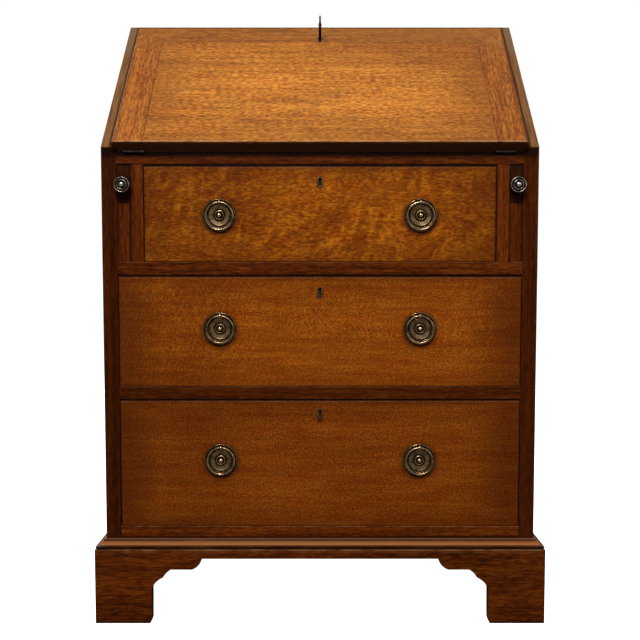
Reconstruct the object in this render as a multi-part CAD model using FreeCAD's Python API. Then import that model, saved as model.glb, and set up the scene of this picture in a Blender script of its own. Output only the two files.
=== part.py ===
import FreeCAD, Part
import math
import os

os.makedirs("parts", exist_ok=True)

V = FreeCAD.Vector

# Overall sizes of the bureau, in millimetres, floor at zero, front plane of the
# carcass at Y zero while the pieces are drawn, Y running to the back.
carcass_width = 700
carcass_depth = 435
side_t = 24.5
half = carcass_width / 2
in_half = half - side_t
overrun = 3
round_count = 16
fine_count = 10

# Courses of the front, stacked from the floor to the top
carcass_floor_z = 122
bottom_rail_h = 34.5
bottom_drawer_h = 209.1
rail_t = 21.5
middle_drawer_h = 180.1
top_drawer_h = 155.3
desk_t = 20
slope_rise = 259
bottom_rail_top = carcass_floor_z + bottom_rail_h
rail_top_z = bottom_rail_top + bottom_drawer_h + rail_t
rail_mid_z = rail_top_z + middle_drawer_h + rail_t
desk_z = rail_mid_z + top_drawer_h + desk_t
top_z = desk_z + slope_rise

# Boards of the carcass
top_t = 22
top_lap = 8
housing = 8
housing_setback = 16
back_t = 10
back_rabbet = 10
back_board_count = 3
back_board_gap = 0.6
rail_depth = 60
bottom_board_t = 12
runner_w = 30
wide_runner_w = 72
dust_t = 6
dust_tongue = 6
inner_back_y = carcass_depth - back_t

# Lopers, the stiles beside them and the fillers below them
loper_w = 21.5
loper_h = 61
stile_w = 21
stile_out = in_half - loper_w
stile_in = stile_out - stile_w
stile_depth = 22
loper_gap = 0.4
loper_low_z = desk_z - desk_t - loper_h
loper_recess = 1.5
loper_back_gap = 25.5
loper_len = inner_back_y - loper_recess - loper_back_gap
loper_travel = 235
filler_recess = 2
filler_depth = 20
bearer_h = 20
peg_r = 4
peg_out = 6
peg_gap = 0.6
peg_depth = 8
peg_end = 27.5
peg_y = loper_recess + loper_len - peg_end
knob_up = 28
knob_z = loper_low_z + knob_up
knob_bore_r = 2.6
knob_bore = 14

# The sloping fall: u runs up the slope from the hinge pin, w stands off its inner face
fall_slope = 46.75
slope = math.radians(fall_slope)
sin_s = math.sin(slope)
cos_s = math.cos(slope)
fall_t = 20
fall_lap = 5.5
fall_half = in_half + fall_lap
fall_low = 0.5
fall_top_drop = 5.81
fall_len = (slope_rise - fall_top_drop - fall_t * cos_s) / sin_s
fall_step = 5
lip_gap = 0.3
step_top_gap = 0.67
step_len = (slope_rise - top_t - fall_step * cos_s) / sin_s - step_top_gap
fall_side_gap = 0.8
clamp_w = 50
clamp_tongue = 8
clamp_tongue_t = 6
thumb_w = 5.3
thumb_r = 4
thumb_quirk = 1
pin_y = -1
pin_r = 1.25
pin_gap = 0.05
pin_bore_r = (pin_r + pin_gap) / math.cos(math.pi / fine_count)
knuckle_r = 2.9
knuckle_gap = 0.3
hinge_len = 33
hinge_set = 12.5
hinge_in = in_half - hinge_set - hinge_len
knuckle_share = 0.34
leaf_len = 25
leaf_t = 1.8
notch_gap = 0.7

# The fall's lock, its key and its strike
fall_key_drop = 38.4
fall_key_u = fall_len - fall_key_drop
lock_half = 26
lock_low = 20
lock_t = 11
chamber_r = 9.2
chamber_back = 2.2
chamber_front = 9.8
selvedge_half = 34
selvedge_t = 1.6
bolt_half = 5.5
bolt_low = 9.8
bolt_back = 1.4
bolt_t = 3
bolt_gap = 0.35
bolt_tip_gap = 0.4
bolt_travel = 7
strike_half = 22
strike_t = 1.6
strike_setback = 1.8
strike_len = 19
shank_r = 2.3
shank_back = 2.6
bit_t = 2.2
bit_reach = 8.5
bit_back = 3.2
bit_front = 9
bow_r = 10
bow_hole_r = 6.2
bow_t = 3.2
key_out = 44
collar_r = 3.4
collar_t = 2.6
collar_back = 5

# Keyhole and its brass thread escutcheon
hole_r = 2.8
hole_slot = 2.6
hole_drop = 8.4
escutcheon_r = 4.5
escutcheon_slot = 5.6
escutcheon_drop = 9.4
escutcheon_t = 3

# Drawers
front_gap = 0.7
run_gap = 0.3
front_t = 22
drawer_side_t = 11
drawer_back_t = 9
drawer_bottom_t = 7
drawer_bottom_up = 8
drawer_groove = 5
drawer_back_gap = 20
drawer_len = inner_back_y - drawer_back_gap
drawer_side_drop = 5
drawer_back_drop = 12
front_lap = 6
tail_slope = 0.14
tail_share = 0.62
stop_h = 5.5
stop_w = 28
stop_len = 16
stop_in = 150
stop_set = 0.3
draw_lock_half = 24
draw_lock_low = 24
draw_lock_t = 11
draw_chamber_r = 8
draw_chamber_wall = 1.6
draw_selvedge_half = 31
draw_selvedge_w = 9
draw_bolt_half = 7
draw_bolt_t = 3.2
draw_bolt_set = 17
draw_bolt_low = 9
draw_bolt_tip = 0.5
mortise_gap = 1.2
mortise_deep = 8
top_pull_share = 0.4797
top_key_drop = 24.1
top_tail_count = 4
middle_pull_share = 0.5214
middle_key_drop = 23.1
middle_tail_count = 4
bottom_pull_share = 0.5246
bottom_key_drop = 19.3
bottom_tail_count = 5
drawers = (
    ("top", stile_in, rail_mid_z, top_drawer_h, top_pull_share, top_key_drop, top_tail_count),
    ("middle", in_half, rail_top_z, middle_drawer_h, middle_pull_share, middle_key_drop, middle_tail_count),
    ("bottom", in_half, bottom_rail_top, bottom_drawer_h, bottom_pull_share, bottom_key_drop, bottom_tail_count),
)

# Ring pulls
pull_x = 161.5
plate_r = 25
plate_h = 7.8
plate_shares = (
    (1, 0), (0.985, 0.2), (0.92, 0.23), (0.9, 0.13), (0.78, 0.13), (0.755, 0.3), (0.4, 0.2), (0.31, 0.42),
    (0.19, 0.48), (0.03, 1),
)
post_r = 2.4
post_hole_r = 2.9
nut_half = 6
nut_t = 3
ring_r = 21.2
ring_tube = 1.7
ring_off = 3.6
ring_drop = 0.7
ring_count = 20
ring_side_count = 6
lug_bore_r = 2.4
lug_wall = 1.2
lug_half = 2
lug_root_share = 0.1

# Brass knobs of the lopers
knob_r = 13
knob_out = 20
knob_shares = (
    (0.69, 0), (0.69, 0.07), (0.385, 0.15), (0.385, 0.4), (0.92, 0.47), (1, 0.55), (1, 0.74),
    (0.877, 0.83), (0.65, 0.8), (0.354, 0.87), (0.2, 1),
)
spigot_r = 2.2
spigot_len = 12

# Base moulding, plinth and bracket feet
plinth_out = 16
plinth_t = 18
apron_z = 107.2
moulding_out = 15
moulding_h = 14.5
moulding_foot_shares = ((0, 0), (0.907, 0), (0.907, 0.18), (1, 0.22), (1, 0.324))
moulding_cove_share = (0.5, 0.52)
moulding_head_shares = ((0.26, 0.807), (0.207, 0.972), (0, 1))
foot_len = 174
foot_flat = 2
foot_toe_shares = ((0.508, 0), (0.519, 0.0205), (0.5253, 0.056), (0.5282, 0.5224))
foot_curve_shares = (
    ((0.5701, 0.6371), (0.6356, 0.708)), ((0.6598, 0.7649), (0.708, 0.8321)),
    ((0.805, 0.8321), (0.9046, 0.8321)), ((0.9586, 0.8825), (1, 1)),
)
corner_block = 32
corner_block_h = 100
bearer_w = 25
floor_bearer_t = 13
back_foot_w = 88
back_foot_h = 88

# Fittings inside the desk
case_setback = 6.05
case_gap = 0.8
case_t = 6
shelf_up = 64
divider_t = 5
hole_count = 6
valance_t = 5
valance_drop = 34
valance_rise_share = 0.62
valance_end = 6
small_names = ("left", "middle", "right")
small_gap = 0.4
small_front_t = 9
small_side_t = 5
small_bottom_t = 3
small_bottom_up = 3
small_back_gap = 17
small_knob_r = 7
small_knob_out = 12.4
small_knob_shares = (
    (0.457, 0), (0.457, 0.32), (0.914, 0.53), (1, 0.726), (0.8, 0.92), (0.1, 1),
)
small_spigot_r = 2
small_spigot_len = 6

# Derived places
y_middle = (carcass_depth + loper_recess - knob_out) / 2
case_front = pin_y + (slope_rise - top_t) * cos_s / sin_s + case_setback
small_len = inner_back_y - case_front - small_back_gap


def slope_y(z, w):
    """Depth at height z of the plane standing w off the fall's inner face."""
    return pin_y + ((z - desk_z) * cos_s - w) / sin_s


def slope_z(y, w):
    """Height at depth y of the plane standing w off the fall's inner face."""
    return desk_z + (w + (y - pin_y) * sin_s) / cos_s


def block(x0, x1, y0, y1, z0, z1):
    """Rectangular block between two corners."""
    return Part.makeBox(x1 - x0, y1 - y0, z1 - z0, V(x0, y0, z0))


def face_of(points):
    """Flat face from a closed run of points."""
    return Part.Face(Part.makePolygon(list(points) + [points[0]]))


def prism_x(points, x0, x1):
    """Outline of (y, z) pairs drawn out from x0 to x1."""
    return face_of([V(x0, y, z) for y, z in points]).extrude(V(x1 - x0, 0, 0))


def prism_y(points, y0, y1):
    """Outline of (x, z) pairs drawn out from y0 to y1."""
    return face_of([V(x, y0, z) for x, z in points]).extrude(V(0, y1 - y0, 0))


def prism_z(points, z0, z1):
    """Outline of (x, y) pairs drawn out from z0 to z1."""
    return face_of([V(x, y, z0) for x, y in points]).extrude(V(0, 0, z1 - z0))


def solid_of(loops, wraps):
    """Solid of flat faces between runs of points, its ends closed unless it wraps round."""
    faces = []
    pairs = list(zip(loops, loops[1:]))
    if wraps:
        pairs.append((loops[-1], loops[0]))
    else:
        faces = [face_of(loops[0]), face_of(loops[-1])]
    for near, far in pairs:
        for i in range(len(near)):
            k = (i + 1) % len(near)
            faces.append(face_of([near[i], near[k], far[k], far[i]]))
    shell = Part.makeShell(faces)
    shell.sewShape()
    solid = Part.makeSolid(shell)
    if solid.Volume < 0:
        solid.reverse()
    return solid


def ring_of(count, r, z):
    """Run of count points round Z."""
    turns = [math.tau * (i + 0.5) / count for i in range(count)]
    return [V(r * math.cos(turn), r * math.sin(turn), z) for turn in turns]


def rod(r, start, axis, length):
    """Straight rod of fine_count sides."""
    shape = face_of(ring_of(fine_count, r, 0)).extrude(V(0, 0, length))
    shape.Placement = FreeCAD.Placement(start, FreeCAD.Rotation(V(0, 0, 1), axis))
    return shape


def pivot(r, start, axis, length):
    """True round pin for a turning piece."""
    return Part.makeCylinder(r, length, start, axis)


def turned(count, shares, radius, height):
    """Turned piece about Z, of count sides, from shares of its radius and height."""
    return solid_of([ring_of(count, radius * r, height * z) for r, z in shares], False)


def mirrored(shape):
    """The same piece on the other side of the bureau."""
    return shape.mirror(V(0, 0, 0), V(1, 0, 0))


def both(shape):
    """A piece and its mirror image."""
    return [shape, mirrored(shape)]


def joined(shapes):
    """One solid out of several touching shapes."""
    result = shapes[0]
    for shape in shapes[1:]:
        result = result.fuse(shape)
    return result.removeSplitter()


def less(shape, cutters):
    """A shape with every cutter taken away."""
    for cutter in cutters:
        shape = shape.cut(cutter)
    return shape


def group(shapes):
    """Separate solids kept in one node."""
    return Part.makeCompound(shapes)


def on_fall(shape):
    """Carry a shape drawn flat, u along Y and w along Z, onto the closed fall."""
    placed = shape.copy()
    placed.rotate(V(0, 0, 0), V(1, 0, 0), fall_slope)
    placed.translate(V(0, pin_y, desk_z))
    return placed


def fronted(shape, x, y, z):
    """Turn a piece drawn up along Z to stand out of the front."""
    placed = shape.copy()
    placed.rotate(V(0, 0, 0), V(1, 0, 0), 90)
    placed.translate(V(x, y, z))
    return placed


def save(name, shape):
    """Write one node, centred on the bureau's footprint."""
    placed = shape.copy()
    placed.translate(V(0, -y_middle, 0))
    placed.exportStep("parts/" + name + ".step")


def housed_board(y0, y1, z0, z1):
    """Shelf-like board with stopped tongues let into both sides."""
    board = block(-in_half, in_half, y0, y1, z0, z1)
    tongue_y = max(y0, housing_setback)
    tongue = block(-in_half - housing, in_half + housing, tongue_y, y1, z0, z1)
    return joined([board, tongue])


def keyhole(r, slot, drop, depth):
    """Keyhole outline standing along Z, its round end at the origin, tail to -Y."""
    round_end = rod(r, V(0, 0, 0), V(0, 0, 1), depth)
    tail = block(-slot / 2, slot / 2, -drop, 0, 0, depth)
    tail_end = rod(slot / 2, V(0, -drop, 0), V(0, 0, 1), depth)
    return joined([round_end, tail, tail_end])


def escutcheon():
    """Brass thread escutcheon, flush with the wood at its height."""
    outer = keyhole(escutcheon_r, escutcheon_slot, escutcheon_drop, escutcheon_t)
    return outer.cut(keyhole(hole_r, hole_slot, hole_drop, escutcheon_t))


# Shapes of the fall


def hinge_span():
    """Start and end of the three knuckles of one hinge."""
    first = hinge_in + hinge_len * knuckle_share
    second = hinge_in + hinge_len - hinge_len * knuckle_share
    return first, second


def flat_leaf():
    """Plate of a leaf drawn flat, upper face at leaf_t."""
    return block(hinge_in, hinge_in + hinge_len, 0, leaf_len, 0, leaf_t)


def carcass_hinge():
    """Leaf let into the desk board, its two outer knuckles and the pin."""
    first, second = hinge_span()
    plate = flat_leaf()
    plate.translate(V(0, 0, -leaf_t))
    plate = plate.cut(block(first, second, -overrun, knuckle_r + notch_gap, -leaf_t - overrun, overrun))
    axis = V(1, 0, 0)
    outer = rod(knuckle_r, V(hinge_in, 0, 0), axis, first - hinge_in)
    inner = rod(knuckle_r, V(second, 0, 0), axis, hinge_in + hinge_len - second)
    pin = pivot(pin_r, V(hinge_in, 0, 0), axis, hinge_len)
    shape = joined([plate, outer, inner, pin])
    shape.translate(V(0, pin_y, desk_z))
    return shape


def fall_hinge_flat():
    """Leaf let into the fall's inner face with its middle knuckle, drawn flat."""
    first, second = hinge_span()
    plate = flat_leaf()
    near = knuckle_r + notch_gap
    plate = plate.cut(block(hinge_in - overrun, first + knuckle_gap, -overrun, near, -overrun, leaf_t + overrun))
    plate = plate.cut(block(second - knuckle_gap, hinge_in + hinge_len + overrun, -overrun, near,
                            -overrun, leaf_t + overrun))
    axis = V(1, 0, 0)
    start = first + knuckle_gap
    length = second - first - knuckle_gap - knuckle_gap
    knuckle = rod(knuckle_r, V(start, 0, 0), axis, length)
    bore = rod(pin_bore_r, V(start - overrun, 0, 0), axis, length + overrun + overrun)
    return joined([plate, knuckle]).cut(bore)


def hinge_notch_flat():
    """Room for the knuckles in the fall's lower edge."""
    reach = knuckle_r + notch_gap
    return block(hinge_in - notch_gap, hinge_in + hinge_len + notch_gap, -reach, reach, -reach, reach)


def fall_blank():
    """Whole fall drawn flat: the step that drops between the sides and the lip over them."""
    inner_half = in_half - fall_side_gap
    step = block(-inner_half, inner_half, fall_low, step_len, 0, fall_step + lip_gap)
    lip = block(-fall_half, fall_half, fall_low, fall_len, fall_step + lip_gap, fall_t)
    return joined([step, lip])


def thumb_cutter():
    """Waste of the thumb moulding round the left, top and right of the fall."""
    steps = 4
    points = [(0, 0), (0, -thumb_r - thumb_quirk)]
    for i in range(steps):
        turn = math.pi / 2 * i / (steps - 1)
        points.append((thumb_w - thumb_w * math.cos(turn), -thumb_quirk - thumb_r + thumb_r * math.sin(turn)))
    points.append((thumb_w, 0))
    side_points = [(x - fall_half, w + fall_t) for x, w in points]
    left = prism_y(side_points, 0, fall_len)
    top_points = [(fall_len - x, w + fall_t) for x, w in points]
    top = prism_x(top_points, -fall_half, fall_half)
    return [left, mirrored(left), top]


def clamp_outlines():
    """Plan of the left clamp, right clamp and top strip, mitred at the corners."""
    inner = fall_half - clamp_w
    top_u = fall_len - clamp_w
    left = [(-fall_half, 0), (-inner, 0), (-inner, top_u), (-fall_half, fall_len)]
    right = [(-x, u) for x, u in left]
    top = [(-inner, top_u), (inner, top_u), (fall_half, fall_len), (-fall_half, fall_len)]
    return left, right, top


def fall_cutters():
    """Everything let into the fall."""
    cutters = both(hinge_notch_flat()) + both(fall_hinge_flat())
    return cutters + [lock_space(), keyhole_flat(hole_r, hole_slot, hole_drop, fall_t), escutcheon_space()]


def keyhole_flat(r, slot, drop, depth):
    """Keyhole outline through the fall, tail toward the hinges."""
    shape = keyhole(r, slot, drop, depth)
    shape.translate(V(0, fall_key_u, 0))
    return shape


def escutcheon_space():
    """Socket of the fall's escutcheon."""
    shape = keyhole_flat(escutcheon_r, escutcheon_slot, escutcheon_drop, escutcheon_t)
    shape.translate(V(0, 0, fall_t - escutcheon_t))
    return shape


def lock_body():
    """Outside of the fall's lock with its selvedge."""
    case = block(-lock_half, lock_half, fall_key_u - lock_low, step_len, 0, fall_step)
    deep = block(-lock_half, lock_half, fall_key_u - lock_low, step_len - overrun, 0, lock_t)
    selvedge = block(-selvedge_half, selvedge_half, step_len - selvedge_t, step_len, 0, fall_step)
    return joined([case, deep, selvedge])


def lock_space():
    """Mortise of the lock in the fall."""
    return lock_body()


def fall_lock_flat():
    """Lock case with the chamber of the key and the channel of the bolt."""
    chamber = rod(chamber_r, V(0, fall_key_u, chamber_back), V(0, 0, 1), chamber_front - chamber_back)
    opening = keyhole_flat(hole_r, hole_slot, hole_drop, lock_t - chamber_back)
    opening.translate(V(0, 0, chamber_back))
    side = bolt_half + bolt_gap
    channel = block(-side, side, fall_key_u, step_len + overrun, bolt_back - bolt_gap, bolt_back + bolt_t + bolt_gap)
    return less(lock_body(), [chamber, opening, channel])


def fall_bolt_flat():
    """Bolt of the fall's lock, drawn back inside the case."""
    return block(-bolt_half, bolt_half, fall_key_u + bolt_low, step_len - bolt_tip_gap, bolt_back, bolt_back + bolt_t)


def key_flat():
    """Key standing in the fall's lock, its bow edge-on to the front."""
    up = V(0, 0, 1)
    bow_w = fall_t + key_out - bow_r
    band = (bow_r + bow_hole_r) / 2
    shank = pivot(shank_r, V(0, fall_key_u, shank_back), up, bow_w - band - shank_back)
    bit = block(-bit_t / 2, bit_t / 2, fall_key_u - bit_reach, fall_key_u, bit_back, bit_front)
    collar = rod(collar_r, V(0, fall_key_u, bow_w - bow_r - collar_back), up, collar_t)
    across = V(1, 0, 0)
    bow = rod(bow_r, V(-bow_t / 2, fall_key_u, bow_w), across, bow_t)
    hole = rod(bow_hole_r, V(-bow_t, fall_key_u, bow_w), across, bow_t + bow_t)
    return joined([shank, bit, collar, bow.cut(hole)])


def bolt_path():
    """Room for the thrown bolt in the top board, open to the front bevel."""
    side = bolt_half + bolt_gap + bolt_gap
    return on_fall(block(-side, side, step_len, step_len + bolt_travel + bolt_gap, bolt_back - bolt_gap - bolt_gap,
                         fall_step + overrun))


def make_fall():
    """Panel, clamps, hinge leaves, lock, bolt and key."""
    blank = less(fall_blank(), thumb_cutter() + fall_cutters())
    low = -overrun
    high = fall_t + overrun
    frame = []
    for outline in clamp_outlines():
        frame.append(prism_z(outline, low, high))
    inner = fall_half - clamp_w
    field = block(-inner, inner, 0, fall_len - clamp_w, low, high)
    tongue_w = (fall_t - clamp_tongue_t) / 2
    tongue = block(-inner - clamp_tongue, inner + clamp_tongue, 0, fall_len - clamp_w + clamp_tongue,
                   tongue_w, tongue_w + clamp_tongue_t)
    panel = blank.common(joined([field, tongue]))
    clamps = [blank.common(piece).cut(tongue) for piece in frame]
    save("fall_panel", on_fall(panel))
    save("fall_clamps", on_fall(group(clamps)))
    save("hinge_leaves_fall", on_fall(group(both(fall_hinge_flat()))))
    thread = escutcheon()
    thread.translate(V(0, fall_key_u, fall_t - escutcheon_t))
    save("fall_lock", on_fall(group([fall_lock_flat(), thread])))
    save("fall_bolt", on_fall(fall_bolt_flat()))
    save("key", on_fall(key_flat()))


# Carcass


def desk_board():
    """Writing surface whose front edge is the rail above the top drawer."""
    board = housed_board(0, inner_back_y, desk_z - desk_t, desk_z)
    near = knuckle_r + notch_gap
    notch = block(hinge_in - notch_gap, hinge_in + hinge_len + notch_gap, -near, pin_y + near, desk_z - near, desk_z)
    cutters = both(notch) + both(carcass_hinge())
    return less(board, cutters + [lock_mortise(desk_z - desk_t)])


def lock_mortise(z):
    """Hole above a drawer's lock bolt, z being the underside it is cut from."""
    side = draw_bolt_half + mortise_gap
    return block(-side, side, draw_bolt_set - mortise_gap, draw_bolt_set + draw_bolt_t + mortise_gap, z,
                 z + mortise_deep)


def top_board():
    """Top with its front bevelled to the slope, lapped over both sides and the back."""
    lap_z = top_z - top_lap
    low_z = top_z - top_t
    upper = prism_x([(slope_y(lap_z, fall_step), lap_z), (slope_y(top_z, fall_step), top_z),
                     (carcass_depth, top_z), (carcass_depth, lap_z)], -half, half)
    lower = prism_x([(slope_y(low_z, fall_step), low_z), (slope_y(lap_z, fall_step), lap_z),
                     (inner_back_y, lap_z), (inner_back_y, low_z)], -in_half, in_half)
    return joined([upper, lower]).cut(bolt_path())


def strike():
    """Brass plate under the top board round the bolt's hole."""
    low_z = top_z - top_t
    y0 = slope_y(low_z, fall_step) + strike_setback
    return block(-strike_half, strike_half, y0, y0 + strike_len, low_z, low_z + strike_t).cut(bolt_path())


def drawer_rails():
    """Front rails above the middle and the bottom drawer."""
    rails = []
    for top in (rail_mid_z, rail_top_z):
        rail = housed_board(0, rail_depth, top - rail_t, top)
        rails.append(rail.cut(lock_mortise(top - rail_t)))
    return rails


def bottom_rail():
    """Rail under the bottom drawer, rebated behind for the bottom board."""
    return housed_board(0, rail_depth, carcass_floor_z, bottom_rail_top)


def bottom_board():
    """Bottom of the carcass, housed in the sides."""
    return housed_board(rail_depth, inner_back_y, bottom_rail_top - bottom_board_t, bottom_rail_top)


def dust_board(top, width):
    """Thin board between two runners, its edges in grooves."""
    mid = top - rail_t / 2
    edge = in_half - width + dust_tongue
    return block(-edge, edge, rail_depth - dust_tongue, inner_back_y, mid - dust_t / 2, mid + dust_t / 2)


def runner(top, width):
    """Runner along one side behind the rail."""
    return block(in_half - width, in_half, rail_depth, inner_back_y, top - rail_t, top)


def side_right():
    """Right side: slanted front edge, top lap, rear rabbet and housings."""
    lap_z = top_z - top_lap
    outline = [(0, carcass_floor_z), (0, slope_z(0, fall_step)), (slope_y(lap_z, fall_step), lap_z),
               (carcass_depth, lap_z), (carcass_depth, carcass_floor_z)]
    return prism_x(outline, in_half, half)


def back_boards():
    """Upright boards closing the back, set in the sides' rabbets."""
    edge = in_half + back_rabbet
    width = (edge + edge - back_board_gap * (back_board_count - 1)) / back_board_count
    boards = []
    for i in range(back_board_count):
        x0 = -edge + (width + back_board_gap) * i
        boards.append(block(x0, x0 + width, inner_back_y, carcass_depth, carcass_floor_z, top_z - top_lap))
    return boards


def loper_right():
    """Sliding support with its stop peg."""
    x0 = stile_out + loper_gap
    x1 = in_half - loper_gap
    z1 = desk_z - desk_t - loper_gap
    bar = block(x0, x1, loper_recess, loper_recess + loper_len, loper_low_z + run_gap, z1)
    peg = rod(peg_r, V(x0 - peg_out, peg_y, knob_z), V(1, 0, 0), peg_out + overrun)
    bore = rod(knob_bore_r, V((x0 + x1) / 2, loper_recess - overrun, knob_z), V(0, 1, 0), knob_bore + overrun)
    return joined([bar, peg]).cut(bore)


def loper_guide():
    """Upright guide between the top drawer and the loper, grooved for the stop peg."""
    guide = block(stile_in, stile_out, stile_depth, inner_back_y, rail_mid_z, desk_z - desk_t)
    reach = peg_r + peg_gap
    groove = block(stile_out - peg_depth, stile_out + overrun, peg_y - loper_travel - reach,
                   inner_back_y, knob_z - reach, knob_z + reach)
    return guide.cut(groove)


def loper_bearer():
    """Bar that the loper slides on, behind the filler."""
    return block(stile_out, in_half, filler_recess + filler_depth, inner_back_y, loper_low_z - bearer_h, loper_low_z)


def loper_stile():
    """Front stile between the top drawer and the loper."""
    return block(stile_in, stile_out, 0, stile_depth, rail_mid_z, desk_z - desk_t)


def loper_filler():
    """Fixed piece closing the slot under the loper."""
    return block(stile_out, in_half, filler_recess, filler_recess + filler_depth, rail_mid_z, loper_low_z)


def loper_knob():
    """Turned brass knob with its spigot."""
    spigot = rod(spigot_r, V(0, 0, -spigot_len), V(0, 0, 1), spigot_len)
    knob = joined([turned(round_count, knob_shares, knob_r, knob_out), spigot])
    return fronted(knob, (stile_out + in_half) / 2, loper_recess, knob_z)


def stops():
    """Blocks on the rails that stop each drawer flush."""
    pieces = []
    y0 = front_t + stop_set
    for name, side_x, z0, height, pull_share, key_drop, count in drawers:
        stop = block(stop_in, stop_in + stop_w, y0, y0 + stop_len, z0, z0 + stop_h)
        pieces = pieces + both(stop)
    return pieces


# Plinth and base moulding


def foot_edge(place):
    """Cut edge of one foot from toe to apron, place giving each point its spot."""
    def spot(shares):
        return place(foot_len * shares[0], apron_z * shares[1])

    toe = [spot(shares) for shares in foot_toe_shares]
    edges = []
    for i in range(len(toe) - 1):
        edges.append(Part.LineSegment(toe[i], toe[i + 1]).toShape())
    last = toe[-1]
    for i, pair in enumerate(foot_curve_shares):
        middle = spot(pair[0])
        end = spot(pair[1])
        if i == foot_flat:
            edges.append(Part.LineSegment(last, end).toShape())
        else:
            edges.append(Part.Arc(last, middle, end).toShape())
        last = end
    return edges, toe[0], last


def bracket_face(near, far, place_near, place_far, up):
    """Face of a plinth board with a foot cut at each end."""
    near_edges, near_toe, near_top = foot_edge(place_near)
    far_edges, far_toe, far_top = foot_edge(place_far)
    corners = [near_toe, near, near + up, far + up, far, far_toe]
    edges = [Part.LineSegment(near_top, far_top).toShape()] + near_edges + far_edges
    for i in range(len(corners) - 1):
        edges.append(Part.LineSegment(corners[i], corners[i + 1]).toShape())
    return Part.Face(Part.Wire(Part.__sortEdges__(edges)))


def plinth_front():
    """Front board of the plinth, both bracket feet and the apron cut in one."""
    edge = half + plinth_out
    up = V(0, 0, carcass_floor_z)
    face = bracket_face(V(-edge, -plinth_out, 0), V(edge, -plinth_out, 0),
                        lambda along, z: V(along - edge, -plinth_out, z),
                        lambda along, z: V(edge - along, -plinth_out, z), up)
    board = face.extrude(V(0, plinth_t, 0))
    plan = [(-edge, -plinth_out), (edge, -plinth_out), (edge - plinth_t, plinth_t - plinth_out),
            (-edge + plinth_t, plinth_t - plinth_out)]
    return board.common(prism_z(plan, 0, carcass_floor_z))


def plinth_side():
    """Right side board of the plinth, mitred to the front."""
    edge = half + plinth_out
    up = V(0, 0, carcass_floor_z)
    face = bracket_face(V(edge, -plinth_out, 0), V(edge, carcass_depth, 0),
                        lambda along, z: V(edge, along - plinth_out, z),
                        lambda along, z: V(edge, carcass_depth - along, z), up)
    board = face.extrude(V(-plinth_t, 0, 0))
    plan = [(edge, -plinth_out), (edge, carcass_depth), (edge - plinth_t, carcass_depth),
            (edge - plinth_t, plinth_t - plinth_out)]
    return board.common(prism_z(plan, 0, carcass_floor_z))


def plinth_blocks():
    """Rear foot boards, corner blocks and the bearers the carcass stands on."""
    inner = half + plinth_out - plinth_t
    front_y = plinth_t - plinth_out
    top = carcass_floor_z
    low = top - floor_bearer_t
    pieces = []
    foot = prism_y([(inner, 0), (inner, top), (inner - back_foot_w, top), (inner - back_foot_w, top - back_foot_h),
                    (inner - corner_block, 0)], carcass_depth - plinth_t, carcass_depth)
    pieces = pieces + both(foot)
    pieces = pieces + both(block(inner - corner_block, inner, front_y, front_y + corner_block,
                                 top - corner_block_h, top))
    back_y = carcass_depth - plinth_t
    pieces = pieces + both(block(inner - corner_block, inner, back_y - corner_block, back_y,
                                 top - corner_block_h, top))
    pieces.append(block(-inner + corner_block, inner - corner_block, front_y, front_y + bearer_w, low, top))
    pieces = pieces + both(block(inner - bearer_w, inner, front_y + corner_block, back_y - corner_block, low, top))
    return pieces


def moulding_face(place):
    """Profile of the moulding, its hollow an arc, place giving each point its spot."""
    def spot(shares):
        return place(moulding_out * shares[0], carcass_floor_z + moulding_h * shares[1])

    foot = [spot(shares) for shares in moulding_foot_shares]
    head = [spot(shares) for shares in moulding_head_shares]
    edges = [Part.Arc(foot[-1], spot(moulding_cove_share), head[0]).toShape()]
    for run in (foot, head, [head[-1], foot[0]]):
        for i in range(len(run) - 1):
            edges.append(Part.LineSegment(run[i], run[i + 1]).toShape())
    return Part.Face(Part.Wire(Part.__sortEdges__(edges)))


def base_moulding():
    """Moulding mitred round the foot of the carcass."""
    edge = half + moulding_out
    reach = moulding_out
    top = carcass_floor_z + moulding_h
    front_plan = prism_z([(-edge, -reach), (edge, -reach), (half, 0), (-half, 0)], 0, top)
    side_plan = prism_z([(edge, -reach), (edge, carcass_depth), (half, carcass_depth), (half, 0)], 0, top)
    front = moulding_face(lambda out, z: V(-edge, -out, z)).extrude(V(edge + edge, 0, 0)).common(front_plan)
    side = moulding_face(lambda out, z: V(half + out, -reach, z))
    side = side.extrude(V(0, carcass_depth + reach, 0)).common(side_plan)
    return [front] + both(side)


# Pigeonholes and small drawers


def case_z():
    """Heights of the pigeonhole case: foot, shelf underside and top."""
    low = desk_z
    shelf = desk_z + shelf_up
    high = top_z - top_t - case_gap
    return low, shelf, high


def pigeonhole_case():
    """Ends, floor, shelf and top of the case."""
    low, shelf, high = case_z()
    edge = in_half - case_gap
    inner = edge - case_t
    y1 = inner_back_y
    end = block(inner, edge, case_front, y1, low, high)
    floor = block(-inner, inner, case_front, y1, low, low + case_t)
    middle = block(-inner, inner, case_front, y1, shelf, shelf + case_t)
    cover = block(-inner, inner, case_front, y1, high - case_t, high)
    return both(end) + [floor, middle, cover]


def divider_places(count):
    """Left faces of the uprights that split the case into count bays."""
    inner = in_half - case_gap - case_t
    bay = (inner + inner - divider_t * (count - 1)) / count
    return [-inner + (bay + divider_t) * i - divider_t for i in range(1, count)], bay


def pigeonhole_dividers():
    """Uprights of the case and the shaped valances over the pigeonholes."""
    low, shelf, high = case_z()
    pieces = []
    places, bay = divider_places(len(small_names))
    for x in places:
        pieces.append(block(x, x + divider_t, case_front, inner_back_y, low + case_t, shelf))
    places, bay = divider_places(hole_count)
    for x in places:
        pieces.append(block(x, x + divider_t, case_front, inner_back_y, shelf + case_t, high - case_t))
    inner = in_half - case_gap - case_t
    for i in range(hole_count):
        pieces.append(valance(-inner + (bay + divider_t) * i, bay, high - case_t))
    return pieces


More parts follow.
